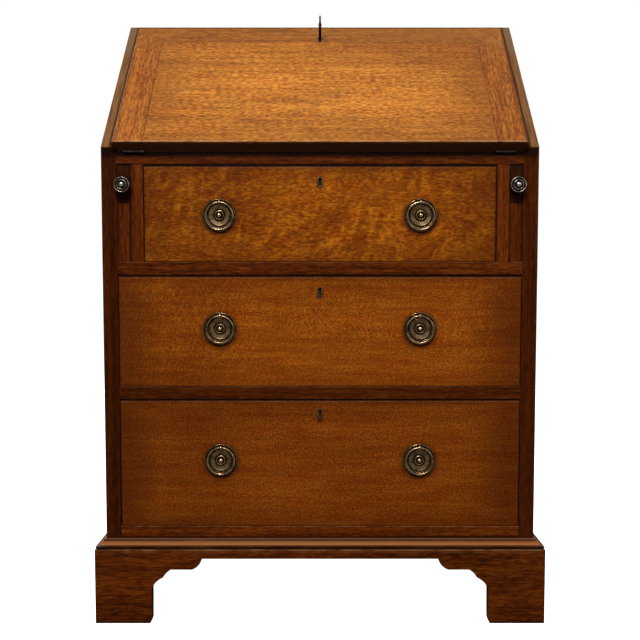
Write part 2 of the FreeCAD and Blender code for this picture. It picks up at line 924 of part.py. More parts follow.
def valance(x0, bay, top):
    """Arched board across the top of one pigeonhole."""
    low = top - valance_drop
    steps = 7
    points = [(x0, low)]
    for i in range(steps):
        share = i / (steps - 1)
        rise = valance_drop * valance_rise_share * math.sin(math.pi * share)
        points.append((x0 + valance_end + (bay - valance_end - valance_end) * share, low + rise))
    points = points + [(x0 + bay, low), (x0 + bay, top), (x0, top)]
    return prism_y(points, case_front + valance_t, case_front + valance_t + valance_t)


def small_drawer(i):
    """One small drawer under the pigeonholes."""
    low, shelf, high = case_z()
    places, bay = divider_places(len(small_names))
    inner = in_half - case_gap - case_t
    x0 = -inner + (bay + divider_t) * i + small_gap
    x1 = x0 + bay - small_gap - small_gap
    z0 = low + case_t + small_gap
    z1 = shelf - small_gap
    y0 = case_front
    y1 = case_front + small_len
    panel = block(x0 + small_side_t / 2, x1 - small_side_t / 2, y0 + small_front_t / 2, y1,
                  z0 + small_bottom_up, z0 + small_bottom_up + small_bottom_t)
    mid = (x0 + x1) / 2
    bore = rod(small_spigot_r, V(mid, y0 - overrun, (z0 + z1) / 2), V(0, 1, 0), small_spigot_len + overrun)
    front = block(x0, x1, y0, y0 + small_front_t, z0, z1)
    left = block(x0, x0 + small_side_t, y0 + small_front_t, y1, z0, z1)
    right = block(x1 - small_side_t, x1, y0 + small_front_t, y1, z0, z1)
    back = block(x0 + small_side_t, x1 - small_side_t, y1 - small_side_t, y1,
                 z0 + small_bottom_up + small_bottom_t, z1 - small_bottom_up)
    spigot = rod(small_spigot_r, V(0, 0, -small_spigot_len), V(0, 0, 1), small_spigot_len)
    knob = fronted(joined([turned(fine_count, small_knob_shares, small_knob_r, small_knob_out), spigot]), mid, y0, (z0 + z1) / 2)
    return [less(front, [panel, bore]), left.cut(panel), right.cut(panel), back, panel, knob]


# The three long drawers


def tail_run(z0, z1, count, x0, x1, root_y, end_y):
    """Dovetails from root_y to end_y between two heights."""
    pitch = (z1 - z0) / count
    narrow = pitch * tail_share / 2
    wide = narrow + abs(end_y - root_y) * tail_slope
    tails = []
    for i in range(count):
        mid = z0 + pitch * (i + 0.5)
        tails.append(prism_x([(root_y, mid - narrow), (end_y, mid - wide), (end_y, mid + wide),
                              (root_y, mid + narrow)], x0, x1))
    return tails


def drawer_side(x1, z0, z1, back_z0, back_z1, count):
    """Right side of a drawer with its dovetails, before the groove."""
    x0 = x1 - drawer_side_t
    back_y = drawer_len - drawer_back_t
    body = block(x0, x1, front_t, back_y, z0, z1)
    front_tails = tail_run(z0, z1, count, x0, x1, front_t, front_lap)
    back_tails = tail_run(back_z0, back_z1, count - 1, x0, x1, back_y, drawer_len)
    return joined([body] + front_tails + back_tails)


def drawer_lock(z1, key_z):
    """Lock let into the inside of a drawer front, with its bolt and escutcheon."""
    y1 = front_t
    y0 = y1 - draw_lock_t
    case = block(-draw_lock_half, draw_lock_half, y0, y1, key_z - draw_lock_low, z1)
    selvedge = block(-draw_selvedge_half, draw_selvedge_half, y1 - draw_selvedge_w, y1, z1 - selvedge_t, z1)
    body = joined([case, selvedge])
    back = V(0, 1, 0)
    chamber = rod(draw_chamber_r, V(0, y0 + draw_chamber_wall, key_z), back,
                  draw_lock_t - draw_chamber_wall - draw_chamber_wall)
    side = draw_bolt_half + bolt_gap
    channel = block(-side, side, draw_bolt_set - bolt_gap, draw_bolt_set + draw_bolt_t + bolt_gap,
                    key_z + draw_bolt_low - bolt_gap, z1 + overrun)
    hole = fronted(keyhole(hole_r, hole_slot, hole_drop, front_t), 0, y0 + draw_chamber_wall + overrun, key_z)
    lock = less(body, [chamber, channel, hole])
    bolt = block(-draw_bolt_half, draw_bolt_half, draw_bolt_set, draw_bolt_set + draw_bolt_t,
                 key_z + draw_bolt_low, z1 - draw_bolt_tip)
    return body, lock, bolt


def ring(x, z):
    """Hanging ring of a pull, a tube of flat facets."""
    loops = []
    for i in range(ring_count):
        turn = math.tau * i / ring_count
        loop = []
        for k in range(ring_side_count):
            tip = math.tau * k / ring_side_count
            r = ring_r + ring_tube * math.cos(tip)
            loop.append(V(x + r * math.sin(turn), ring_tube * math.sin(tip) - ring_off, z + r * math.cos(turn)))
        loops.append(loop)
    return solid_of(loops, True)


def pull_plate(x, z):
    """Backplate with its lug, post and nut."""
    plate = fronted(turned(round_count, plate_shares, plate_r, plate_h), x, 0, z)
    axis_z = z - ring_drop + ring_r
    reach = lug_bore_r + lug_wall
    lug = block(x - lug_half, x + lug_half, -ring_off - reach, -plate_h * lug_root_share, axis_z - reach, axis_z + reach)
    plate = joined([plate, lug])
    back = V(0, 1, 0)
    post = rod(post_r, V(x, 0, z), back, front_t + nut_t + nut_t)
    nut = block(x - nut_half, x + nut_half, front_t, front_t + nut_t, z - nut_half, z + nut_half)
    bore = rod(lug_bore_r, V(x - lug_half - overrun, -ring_off, axis_z), V(1, 0, 0), lug_half + lug_half + overrun * 2)
    return joined([plate, post, nut]).cut(bore)


def make_drawer(name, side_x, low, height, pull_share, key_drop, count):
    """Front, box, bottom, lock, bolt and pulls of one long drawer."""
    high = low + height
    pull_z = low + height * pull_share
    key_z = high - key_drop
    edge = side_x - front_gap
    z0 = low + front_gap
    z1 = high - front_gap
    side_z0 = low + run_gap
    side_z1 = z1 - drawer_side_drop
    panel_z = side_z0 + drawer_bottom_up
    back_z0 = panel_z + drawer_bottom_t
    back_z1 = side_z1 - drawer_back_drop
    inner = edge - drawer_side_t
    panel = block(-inner - drawer_groove, inner + drawer_groove, front_t - drawer_groove, drawer_len,
                  panel_z, panel_z + drawer_bottom_t)
    right = drawer_side(edge, z0, side_z1, back_z0, back_z1, count)
    skid = block(inner, edge, front_t + front_gap, drawer_len - drawer_back_t, side_z0, z0)
    right = joined([right, skid])
    left = mirrored(right)
    lock_space_shape, lock, bolt = drawer_lock(z1, key_z)
    front = block(-edge, edge, 0, front_t, z0, z1)
    hole = fronted(keyhole(hole_r, hole_slot, hole_drop, front_t), 0, front_t, key_z)
    thread_space = fronted(keyhole(escutcheon_r, escutcheon_slot, escutcheon_drop, escutcheon_t),
                           0, escutcheon_t, key_z)
    post_hole = rod(post_hole_r, V(pull_x, -overrun, pull_z), V(0, 1, 0), front_t + overrun + overrun)
    cutters = [right, left, panel, lock_space_shape, hole, thread_space] + both(post_hole)
    front = less(front, cutters)
    back = block(-edge, edge, drawer_len - drawer_back_t, drawer_len, back_z0, back_z1)
    back = less(back, [right, left])
    thread = fronted(escutcheon(), 0, escutcheon_t, key_z)
    plate = pull_plate(pull_x, pull_z)
    loop = ring(pull_x, pull_z - ring_drop)
    save("drawer_" + name + "_front", front)
    save("drawer_" + name + "_sides", group([left.cut(panel), right.cut(panel), back]))
    save("drawer_" + name + "_bottom", panel)
    save("drawer_" + name + "_lock", group([lock, thread]))
    save("drawer_" + name + "_bolt", bolt)
    save("drawer_" + name + "_plates", group(both(plate)))
    save("drawer_" + name + "_ring_right", loop)
    save("drawer_" + name + "_ring_left", mirrored(loop))


def make_carcass():
    """All fixed boards of the bureau."""
    desk = desk_board()
    rails = drawer_rails()
    low_rail = bottom_rail()
    floor = bottom_board()
    backs = back_boards()
    housed = [housed_board(0, inner_back_y, desk_z - desk_t, desk_z)] + rails + [low_rail, floor] + backs
    right = less(side_right(), housed)
    mid_dust = dust_board(rail_mid_z, wide_runner_w)
    low_dust = dust_board(rail_top_z, runner_w)
    dust = [mid_dust, low_dust]
    rails = [less(rail, dust) for rail in rails]
    runners = both(runner(rail_mid_z, wide_runner_w).cut(mid_dust))
    runners = runners + both(runner(rail_top_z, runner_w).cut(low_dust))
    save("side_right", right)
    save("side_left", mirrored(right))
    plate = strike()
    save("top_board", top_board().cut(plate))
    save("fall_strike", plate)
    save("desk_board", desk)
    save("drawer_rails", group(rails))
    save("bottom_rail", low_rail)
    save("bottom_board", floor)
    save("drawer_runners", group(runners))
    save("dust_boards", group(dust))
    save("back_boards", group(backs))
    save("loper_stiles", group(both(loper_stile())))
    save("loper_fillers", group(both(loper_filler())))
    save("loper_guides", group(both(loper_guide()) + both(loper_bearer())))
    save("drawer_stops", group(stops()))
    save("base_moulding", group(base_moulding()))
    save("plinth_front", plinth_front())
    save("plinth_sides", group(both(plinth_side())))
    save("plinth_blocks", group(plinth_blocks()))
    save("pigeonhole_case", group(pigeonhole_case()))
    save("pigeonhole_dividers", group(pigeonhole_dividers()))
    save("hinge_leaves_desk", group(both(carcass_hinge())))


def make_lopers():
    """Both sliding supports and their knobs."""
    right = loper_right()
    save("loper_right", right)
    save("loper_left", mirrored(right))
    knob = loper_knob()
    save("loper_knob_right", knob)
    save("loper_knob_left", mirrored(knob))


make_carcass()
make_fall()
make_lopers()
for drawer in drawers:
    make_drawer(*drawer)
for index, small_name in enumerate(small_names):
    save("small_drawer_" + small_name, group(small_drawer(index)))
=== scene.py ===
"""Looks of the oak writing bureau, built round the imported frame."""
import math

import bmesh
import bpy
from mathutils import Matrix, Vector


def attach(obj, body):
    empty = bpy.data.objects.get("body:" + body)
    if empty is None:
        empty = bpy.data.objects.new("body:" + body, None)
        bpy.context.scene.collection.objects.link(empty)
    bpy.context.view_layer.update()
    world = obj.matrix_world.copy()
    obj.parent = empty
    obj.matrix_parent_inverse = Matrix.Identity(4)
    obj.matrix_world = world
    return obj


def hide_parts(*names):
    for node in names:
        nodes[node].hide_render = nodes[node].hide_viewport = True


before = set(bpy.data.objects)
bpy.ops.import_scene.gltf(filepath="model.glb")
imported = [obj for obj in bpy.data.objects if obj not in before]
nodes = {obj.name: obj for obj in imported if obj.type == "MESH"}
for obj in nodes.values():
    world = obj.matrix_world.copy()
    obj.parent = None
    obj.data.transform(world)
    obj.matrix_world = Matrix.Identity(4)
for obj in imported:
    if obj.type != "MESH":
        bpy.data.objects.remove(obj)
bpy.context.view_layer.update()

# Sizes of the bureau in metres, in the frame's coordinates.
# Carcass: half width outside and inside, edges of the narrow stiles, front face and writing surface
HALF = 0.350
IN_HALF = 0.3255
STILE_OUT = 0.304
STILE_IN = 0.283
FRONT_Y = -0.20825
DESK_Z = 0.764

# Upper and lower arrises of the rails, top of the plinth, and joints of the back boards
RAIL_TOPS = (0.1565, 0.3871, 0.5887)
RAIL_FEET = (0.3656, 0.5672, 0.7440)
BASE_Z = 0.122
BACK_JOINTS = (-0.1119, 0.1119)

# Fall: hinge line, slope, length, half width, thickness, how far the sides stand above its inner face,
# width of the clamps, and how far up the key stands
PIN_Y = FRONT_Y - 0.001
SLOPE = math.radians(46.75)
SIN_S = math.sin(SLOPE)
COS_S = math.cos(SLOPE)
FALL_LEN = 0.3288
FALL_HALF = 0.331
FALL_T = 0.020
FALL_STEP = 0.005
CLAMP_W = 0.050
KEY_U = 0.2904

# Brass: places of the pulls, radii, hang and thinning of their rings, keyholes under the drawers' heads,
# loper knobs
PULL_X = 0.1615
PULL_Z = {"top": 0.6632, "middle": 0.4810, "bottom": 0.2662}
RING_R = 0.0218
RING_TUBE = 0.0017
RING_OFF = 0.0036
RING_DROP = 0.0013
RING_SWELL = 0.12
KEY_DROP = 0.028
KNOB_X = 0.31475
KNOB_Z = 0.711
KNOB_Y = FRONT_Y + 0.0015
MM = 0.001

# Each drawer front: half width, foot, head, dark gap and painted shadow at the head, and how deep the
# painted shade at its ends is
FRONTS = {
    "top": (0.2823, 0.5894, 0.7433, 0.0034, 0.30),
    "middle": (0.3248, 0.3878, 0.5665, 0.0026, 0.52),
    "bottom": (0.3248, 0.1572, 0.3649, 0.0018, 0.42),
}

# Where old polish, dirt and painted shade begin and end: distances up the fall, then heights, then the
# distance of the painted shade from the left end of a drawer front
PANEL_HEAD = (0.178, 0.225)
CLAMP_HEAD = (0.215, 0.315)
STRIP_HEAD = (0.24, 0.32)
RAIL_SPLIT = (0.44, 0.50)
EDGE_HEAD = DESK_Z + 0.004
LIP_SHADE = (0.7500, 0.7602)
LOPER_END = (0.7440, 0.6900)
ROOT_DARK = (0.1390, 0.1418)
LEFT_SHADE_AT = 0.115

# Dull polish at the head of the fall: two places across it, and its strength at each
HEAD_TONE = (-0.24, 0.26, 0.22, 0.46)

# Fades of joint lines, polish and painted shade beside a joint, an edge or a piece of brass: full up to the
# first distance, gone at the second, and how strong
FALL_SEAM = (0.0005, 0.0013, 1.0)
FALL_MITRE = (0.0004, 0.0011, 1.0)
FALL_LEFT_SHADOW = (0.0008, 0.0030, 0.60)
FALL_RIGHT_SHADOW = (0.0012, 0.0052, 0.85)
PANEL_SIDES = (0.0, 0.055, 0.09)
PANEL_RIGHT = (0.010, 0.110, 0.26)
STRIP_SHADOW_SIDE = (0.0050, 0.0080, 0.88)
BOARD_SEAM = (0.0006, 0.0020, 0.85)
STILE_SEAM = (0.0006, 0.0017, 0.9)
STILE_EDGE = (0.0004, 0.0022, 0.6)
FILLER_SIDE = (0.0010, 0.0065, 0.60)
FRONT_FLANK = (0.0006, 0.0020, 0.8)
FRONT_FOOT = (0.0005, 0.0014, 0.22)
FRONT_ENDS = (0.001, 0.013, 0.45)
FRONT_LEFT_SHADE = (0.020, 0.105, 0.22)
PULL_HALO = (0.0225, 0.0360, 0.72)

# Wide painted shade at the ends of a front, depth and strength of the painted shade at its head, softness
# and strength of the dark gap and painted shadow there, and how far behind the front face a cover fades out
FRONT_WINGS = (0.004, 0.110)
HEAD_SHADE = (0.010, 0.40)
HEAD_GAP_SHADOW = (0.0012, 0.95)
FACE_DEPTH = (0.0012, 0.0030)

# Depths below the outer face of the fall, heights above its inner face, and depths below the sides' strip
OUTER_EDGE = (0.0042, 0.0014)
ARRIS_EDGE = (0.0010, 0.0004)
INNER_EDGE = (0.0003, 0.0009)
STRIP_EDGE = (0.0012, 0.0004)

# Bands of painted highlight and painted shadow round an arris: how far below and above it they reach
HIGHLIGHT_BAND = (0.0014, 0.0010)
SHADOW_BAND = (0.0010, 0.0012)
# Bands of painted highlight from one distance to another: up the fall, below the gap at the head of a
# front, and below the top of the plinth, this one with its strength
FALL_BAND = (0.0002, 0.0026)
FRONT_BAND = (0.0018, 0.0004)
PLINTH_BAND = (0.0075, 0.0035, 0.24)

# How far the halos hang below a pull and a keyhole, half width and height of the keyhole's, and its fade
# in shares of them
PULL_HANG = 0.0035
KEYHOLE_HANG = 0.0015
KEYHOLE_HALF = (0.0054, 0.0092)
KEYHOLE_HALO = (0.78, 1.22, 0.80)

# Uneven wear, dirt, joint lines and painted light: scale, the two limits of the noise, and the least and
# most that it leaves
HIGHLIGHT_BREAKS = (48.0, 0.38, 0.62, 0.2, 0.9)
SEAM_BREAKS = (55.0, 0.36, 0.60, 0.08, 0.55)
MOULD_PATCHES = (30.0, 0.35, 0.65, 0.82, 0.97)

# Radius that arrises are eased by, reach and limits of the dirt and painted shade in corners, depth and
# strength of the relief, and what tells an arris of wood
WOOD_EASE = 0.0011
WOOD_GRIME_AND_SHADE = (0.012, 0.35, 0.95)
WOOD_RELIEF = (0.00035, 0.55)
WOOD_ARRIS = (0.93, 0.998)
METAL_EASE = 0.0003
METAL_GRIME = (0.004, 0.40, 0.90)
METAL_RELIEF = (0.00003, 0.5)

# How far the figure moves in each direction from one seed to the next
SEED_STEPS = (1.37, 0.73, 0.41)


# Shader building


class Graph:
    """Adds and links the nodes of one material."""

    def __init__(self, name):
        self.mat = bpy.data.materials.new(name)
        self.mat.use_nodes = True
        self.tree = self.mat.node_tree
        self.tree.nodes.clear()
        self.out = self.tree.nodes.new("ShaderNodeOutputMaterial")
        self.bsdf = self.tree.nodes.new("ShaderNodeBsdfPrincipled")
        self.tree.links.new(self.bsdf.outputs[0], self.out.inputs["Surface"])

    def put(self, socket, value):
        """Link a socket to an output, or set its number."""
        if isinstance(value, bpy.types.NodeSocket):
            self.tree.links.new(value, socket)
        else:
            socket.default_value = value

    def math(self, op, a, b=0.0):
        n = self.tree.nodes.new("ShaderNodeMath")
        n.operation = op
        self.put(n.inputs[0], a)
        self.put(n.inputs[1], b)
        return n.outputs[0]

    def mul(self, a, b):
        return self.math("MULTIPLY", a, b)

    def add(self, a, b):
        return self.math("ADD", a, b)

    def sub(self, a, b):
        return self.math("SUBTRACT", a, b)

    def max(self, a, b):
        return self.math("MAXIMUM", a, b)

    def min(self, a, b):
        return self.math("MINIMUM", a, b)

    def abs(self, a):
        return self.math("ABSOLUTE", a)

    def away(self, dx, dz):
        """Distance given by two legs."""
        return self.math("SQRT", self.add(self.mul(dx, dx), self.mul(dz, dz)))

    def shift(self, value, gain):
        """A noise value moved to swing about zero."""
        return self.mul(self.sub(value, 0.5), gain)

    def combine(self, x, y, z):
        n = self.tree.nodes.new("ShaderNodeCombineXYZ")
        for i, value in enumerate((x, y, z)):
            self.put(n.inputs[i], value)
        return n.outputs[0]

    def position(self):
        """Rest coordinates of the piece in the frame, as three numbers."""
        n = self.tree.nodes.new("ShaderNodeTexCoord")
        s = self.tree.nodes.new("ShaderNodeSeparateXYZ")
        self.tree.links.new(n.outputs["Object"], s.inputs[0])
        return s.outputs[0], s.outputs[1], s.outputs[2]

    def noise(self, vector, scale=1.0, detail=2.0, rough=0.5, distort=0.0):
        n = self.tree.nodes.new("ShaderNodeTexNoise")
        self.put(n.inputs["Vector"], vector)
        n.inputs["Scale"].default_value = scale
        n.inputs["Detail"].default_value = detail
        n.inputs["Roughness"].default_value = rough
        n.inputs["Distortion"].default_value = distort
        return n.outputs["Fac"]

    def ramp(self, value, low, high, out_low=0.0, out_high=1.0, smooth=True):
        n = self.tree.nodes.new("ShaderNodeMapRange")
        n.interpolation_type = "SMOOTHSTEP" if smooth else "LINEAR"
        self.put(n.inputs["Value"], value)
        n.inputs["From Min"].default_value = low
        n.inputs["From Max"].default_value = high
        n.inputs["To Min"].default_value = out_low
        n.inputs["To Max"].default_value = out_high
        return n.outputs["Result"]

    def mix(self, factor, a, b, blend="MIX"):
        n = self.tree.nodes.new("ShaderNodeMix")
        n.data_type = "RGBA"
        n.blend_type = blend
        n.clamp_factor = True
        self.put(n.inputs[0], factor)
        self.put(n.inputs[6], a if isinstance(a, bpy.types.NodeSocket) else (*a, 1.0))
        self.put(n.inputs[7], b if isinstance(b, bpy.types.NodeSocket) else (*b, 1.0))
        return n.outputs[2]

    def bump(self, height, distance, strength=1.0, normal=None):
        n = self.tree.nodes.new("ShaderNodeBump")
        n.inputs["Strength"].default_value = strength
        n.inputs["Distance"].default_value = distance
        self.put(n.inputs["Height"], height)
        if normal is not None:
            self.put(n.inputs["Normal"], normal)
        return n.outputs[0]

    def rounded(self, radius):
        """Normal softened at the arrises."""
        n = self.tree.nodes.new("ShaderNodeBevel")
        n.samples = 4
        n.inputs["Radius"].default_value = radius
        return n.outputs[0]

    def arris(self, softened, low, high):
        """One where the softened normal leaves the true one."""
        g = self.tree.nodes.new("ShaderNodeNewGeometry")
        n = self.tree.nodes.new("ShaderNodeVectorMath")
        n.operation = "DOT_PRODUCT"
        self.put(n.inputs[0], softened)
        self.put(n.inputs[1], g.outputs["Normal"])
        return self.ramp(n.outputs["Value"], low, high, 1.0, 0.0)

    def crevice(self, distance, low, high):
        """One in corners that light hardly reaches."""
        n = self.tree.nodes.new("ShaderNodeAmbientOcclusion")
        n.samples = 6
        n.inputs["Distance"].default_value = distance
        return self.ramp(n.outputs["AO"], low, high, 1.0, 0.0)


def slope_frame(g, x, y, z):
    """Distance up the fall from its hinge and off its inner face."""
    dy = g.sub(y, PIN_Y)
    dz = g.sub(z, DESK_Z)
    u = g.add(g.mul(dy, COS_S), g.mul(dz, SIN_S))
    w = g.sub(g.mul(dz, COS_S), g.mul(dy, SIN_S))
    return u, w


def grain_x(g, x, y, z):
    return x, z, y


def grain_y(g, x, y, z):
    return y, x, z


def grain_z(g, x, y, z):
    return z, x, y


def grain_panel(g, x, y, z):
    u, w = slope_frame(g, x, y, z)
    return x, u, w


def choose(g, mask, first, second):
    """Each of three coordinates taken from first where mask is one."""
    picked = []
    for a, b in zip(first, second):
        n = g.tree.nodes.new("ShaderNodeMix")
        g.put(n.inputs[0], mask)
        g.put(n.inputs[2], b)
        g.put(n.inputs[3], a)
        picked.append(n.outputs[0])
    return picked


def grain_clamps(g, x, y, z):
    """Up the slope in the side clamps, across in the top strip beyond the mitre."""
    u, w = slope_frame(g, x, y, z)
    side = g.sub(FALL_HALF, g.abs(x))
    top = g.sub(FALL_LEN, u)
    mask = g.math("GREATER_THAN", side, top)
    return choose(g, mask, (x, u, w), (u, x, w))


def grain_moulding(g, x, y, z):
    """Along each length of the moulding, split at the mitres."""
    side = g.sub(g.abs(x), HALF)
    front = g.sub(FRONT_Y, y)
    mask = g.math("GREATER_THAN", front, side)
    return choose(g, mask, (x, z, y), (y, x, z))


# Dark, middle and light tone of each wood
OAK = ((0.026, 0.0046, 0.0004), (0.072, 0.0130, 0.0010), (0.130, 0.0290, 0.0026))
FOOT_OAK = tuple(tuple(v * 1.25 for v in tone) for tone in OAK)
LEFT_OAK = tuple(tuple(v * 0.70 for v in tone) for tone in OAK)
RIGHT_OAK = tuple(tuple(v * 0.80 for v in tone) for tone in OAK)
FALL_OAK = ((0.137, 0.0405, 0.0056), (0.272, 0.0890, 0.0106), (0.452, 0.1720, 0.0220))
CLAMP_OAK = ((0.088, 0.0220, 0.0033), (0.172, 0.0490, 0.0064), (0.292, 0.0990, 0.0138))
# The drawer fronts darken from top to bottom, partly painted shade for light that falls from above
TOP_OAK = ((0.092, 0.0170, 0.0010), (0.205, 0.0480, 0.0016), (0.390, 0.1180, 0.0048))
MIDDLE_OAK = ((0.096, 0.0175, 0.0010), (0.200, 0.0440, 0.0020), (0.370, 0.1040, 0.0056))
BOTTOM_OAK = ((0.070, 0.0125, 0.0009), (0.156, 0.0325, 0.0018), (0.290, 0.0780, 0.0050))
MOULD_OAK = ((0.080, 0.025, 0.0060), (0.150, 0.050, 0.0130), (0.240, 0.088, 0.0260))
LINING = ((0.160, 0.085, 0.0380), (0.260, 0.145, 0.0640), (0.360, 0.215, 0.1000))
INNER_OAK = ((0.120, 0.048, 0.0160), (0.220, 0.092, 0.0280), (0.320, 0.150, 0.0480))
PINE = ((0.170, 0.086, 0.0330), (0.270, 0.152, 0.0640), (0.370, 0.225, 0.1050))

# Colours of dirt, old polish, wear, painted shade and painted highlights, and what turns the wood redder
# or more golden
NEARLY_BLACK = (0.0045, 0.0016, 0.0008)
# Painted highlights on the arrises of the rails, the plinth, the fall and the drawer fronts
RUBBED_HIGHLIGHT = (0.200, 0.085, 0.0300)
FALL_ARRIS_HIGHLIGHT = (0.420, 0.230, 0.130)
FRONT_ARRIS_HIGHLIGHT = (0.210, 0.110, 0.055)
# Old polish and painted shade on the fall's edges, then joint lines and painted shadow on the fall
EDGE_POLISH_AND_SHADE = (0.036, 0.0105, 0.0042)
SEAM_AND_SHADOW_DARK = (0.045, 0.012, 0.005)
PANEL_DIM = (0.095, 0.0210, 0.0026)
CLAMP_DIM = (0.155, 0.066, 0.0125)
STRIP_DARK = (0.080, 0.030, 0.009)
STRIP_LIGHT = (0.145, 0.065, 0.021)
STRIP_GREY = (0.110, 0.060, 0.028)
# Painted shadow on the strip beside the fall
STRIP_SHADOW = (0.022, 0.0070, 0.0030)
BOARD_GAP = (0.016, 0.009, 0.005)
SIDE_EDGE = (0.0105, 0.0018, 0.0002)
# Painted shade on the lower drawer rail
LOWER_RAIL_SHADE = (0.016, 0.0026, 0.0003)
LIP_SHADOW = (0.0030, 0.0008, 0.0004)
FILLER_EDGE = (0.0110, 0.0020, 0.0004)
# Handling and painted shade on the ends of the lopers
HANDLED_AND_SHADED = (0.0085, 0.0032, 0.0014)
FRONT_SHADE = (0.030, 0.0046, 0.0006)
PULL_SHADE = (0.014, 0.0026, 0.0006)
KEYHOLE_RIM = (0.022, 0.0075, 0.0035)
OLD_STAIN = (0.060, 0.020, 0.016)
REDDER = (0.92, 0.66, 0.55)
GOLDEN = (1.06, 1.22, 1.30)

# Height over the foot of the base moulding, and the colour there, which paints the highlights and shadows
# of its members
MOULD_LIGHT_STOPS = (
    (0.0006, (0.030, 0.0100, 0.0040)), (0.0018, (0.004, 0.0008, 0.0004)),
    (0.0045, (0.006, 0.0012, 0.0005)), (0.0057, (0.066, 0.020, 0.0048)),
    (0.0067, (0.275, 0.108, 0.0340)), (0.0080, (0.205, 0.069, 0.0150)),
    (0.0094, (0.185, 0.061, 0.0125)), (0.0106, (0.095, 0.029, 0.0060)),
    (0.0118, (0.026, 0.006, 0.0010)), (0.0132, (0.040, 0.010, 0.0020)),
    (0.0146, (0.150, 0.062, 0.0300)), (0.0158, (0.110, 0.042, 0.0190)),
)


# Covers: each gives a mask and the colour that lies over the wood there


def fade(g, distance, full, gone, strength=1.0):
    """Strength up to one distance, falling to nothing at the other."""
    return g.ramp(distance, full, gone, strength, 0.0)


def band(g, z, low, high, blur=0.0004):
    """One between two heights."""
    return g.mul(g.ramp(z, low - blur, low + blur), fade(g, z, high - blur, high + blur))


def arris_bands(g, z, levels, reach):
    """One in the band round each of the arrises."""
    below, above = reach
    found = 0.0
    for level in levels:
        found = g.max(band(g, z, level - below, level + above), found)
    return found


def patches(g, x, y, z, scale, low, high, least, most):
    """Strength that comes and goes along a piece."""
    return g.ramp(g.noise(g.combine(x, y, z), scale=scale, detail=3.0), low, high, least, most)


def fall_edges(g, x, y, z):
    """Dark old polish and painted shade on the edges of the fall, between its two faces."""
    u, w = slope_frame(g, x, y, z)
    outer = fade(g, w, *[FALL_T - inset for inset in OUTER_EDGE])
    inner = g.ramp(w, *INNER_EDGE)
    return g.mul(g.mul(outer, inner), 0.90), EDGE_POLISH_AND_SHADE


def fall_joints(g, x, y, z):
    """Fine dark lines where the clamps meet the panel and each other, and painted shadow along the sides
    of the fall, deeper on the right.
    """
    u, w = slope_frame(g, x, y, z)
    side = g.sub(FALL_HALF, g.abs(x))
    top = g.sub(FALL_LEN, u)
    inset = g.min(side, top)
    line = fade(g, g.abs(g.sub(inset, CLAMP_W)), *FALL_SEAM)
    mitre = fade(g, g.abs(g.sub(side, top)), *FALL_MITRE)
    mitre = g.mul(mitre, g.math("LESS_THAN", inset, CLAMP_W))
    seams = g.mul(g.max(line, mitre), patches(g, x, y, z, *SEAM_BREAKS))
    # Painted shadow along the sides of the fall
    left = fade(g, side, *FALL_LEFT_SHADOW)
    right = g.mul(fade(g, side, *FALL_RIGHT_SHADOW), g.math("GREATER_THAN", x, 0.0))
    return g.max(seams, g.max(left, right)), SEAM_AND_SHADOW_DARK


def head_tone(g, x):
    """Strength of the dull polish at the head of the fall, more on the right."""
    return g.ramp(x, *HEAD_TONE)


def dim_border(g, x, y, z):
    """Deeper colour at the head and the sides of the fall's panel, most on the right."""
    u, w = slope_frame(g, x, y, z)
    head = g.mul(g.ramp(u, *PANEL_HEAD), head_tone(g, x))
    inset = g.sub(FALL_HALF - CLAMP_W, g.abs(x))
    right = g.math("GREATER_THAN", x, 0.0)
    side = fade(g, inset, *PANEL_SIDES)
    side = g.add(side, g.mul(fade(g, inset, *PANEL_RIGHT), right))
    return g.max(head, side), PANEL_DIM


def lower_arris(g, x, y, z):
    """Painted highlight along the lower arris of the fall, broken unevenly."""
    u, w = slope_frame(g, x, y, z)
    line = g.mul(band(g, u, *FALL_BAND), g.ramp(w, *[FALL_T - inset for inset in ARRIS_EDGE]))
    return g.mul(g.mul(line, patches(g, x, y, z, *HIGHLIGHT_BREAKS)), 0.60), FALL_ARRIS_HIGHLIGHT


def grey_head(g, x, y, z):
    """Duller, greyer polish toward the head of the fall's frame."""
    u, w = slope_frame(g, x, y, z)
    return g.mul(g.ramp(u, *CLAMP_HEAD), head_tone(g, x)), CLAMP_DIM


def side_strip(g, x, y, z):
    """Bleached sloping edge of each side, with painted shadow beside the fall, which stands above it."""
    u, w = slope_frame(g, x, y, z)
    across = g.abs(x)
    line = g.noise(g.combine(g.mul(x, 420.0), g.mul(u, 14.0), 0.0), detail=3.0)
    tint = g.mix(g.ramp(line, 0.35, 0.65), STRIP_DARK, STRIP_LIGHT)
    tint = g.mix(g.ramp(u, *STRIP_HEAD), tint, STRIP_GREY)
    full, gone, strength = STRIP_SHADOW_SIDE
    beside = fade(g, across, FALL_HALF + full, FALL_HALF + gone, strength)
    tint = g.mix(beside, tint, STRIP_SHADOW)
    return g.ramp(w, *[FALL_STEP - inset for inset in STRIP_EDGE]), tint


def board_joints(g, x, y, z):
    """Open joints between the upright boards of the back."""
    dark = 0.0
    for level in BACK_JOINTS:
        dark = g.max(fade(g, g.abs(g.sub(x, level)), *BOARD_SEAM), dark)
    return dark, BOARD_GAP


def at_front(cover):
    """Keep a cover to the front face."""
    def kept(g, x, y, z):
        mask, tint = cover(g, x, y, z)
        return g.mul(mask, fade(g, y, *[FRONT_Y + depth for depth in FACE_DEPTH])), tint
    return kept


def edge_shade(strength):
    """Darker polish on the front edge of a side."""
    def cover(g, x, y, z):
        return g.mul(g.math("LESS_THAN", z, EDGE_HEAD), strength), SIDE_EDGE
    return cover


def rail_arrises(strength):
    """Rubbed top arris of each rail, painted lighter as a highlight."""
    def cover(g, x, y, z):
        lit = arris_bands(g, z, RAIL_TOPS, HIGHLIGHT_BAND)
        return g.mul(g.mul(lit, patches(g, x, y, z, *HIGHLIGHT_BREAKS)), strength), RUBBED_HIGHLIGHT
    return cover


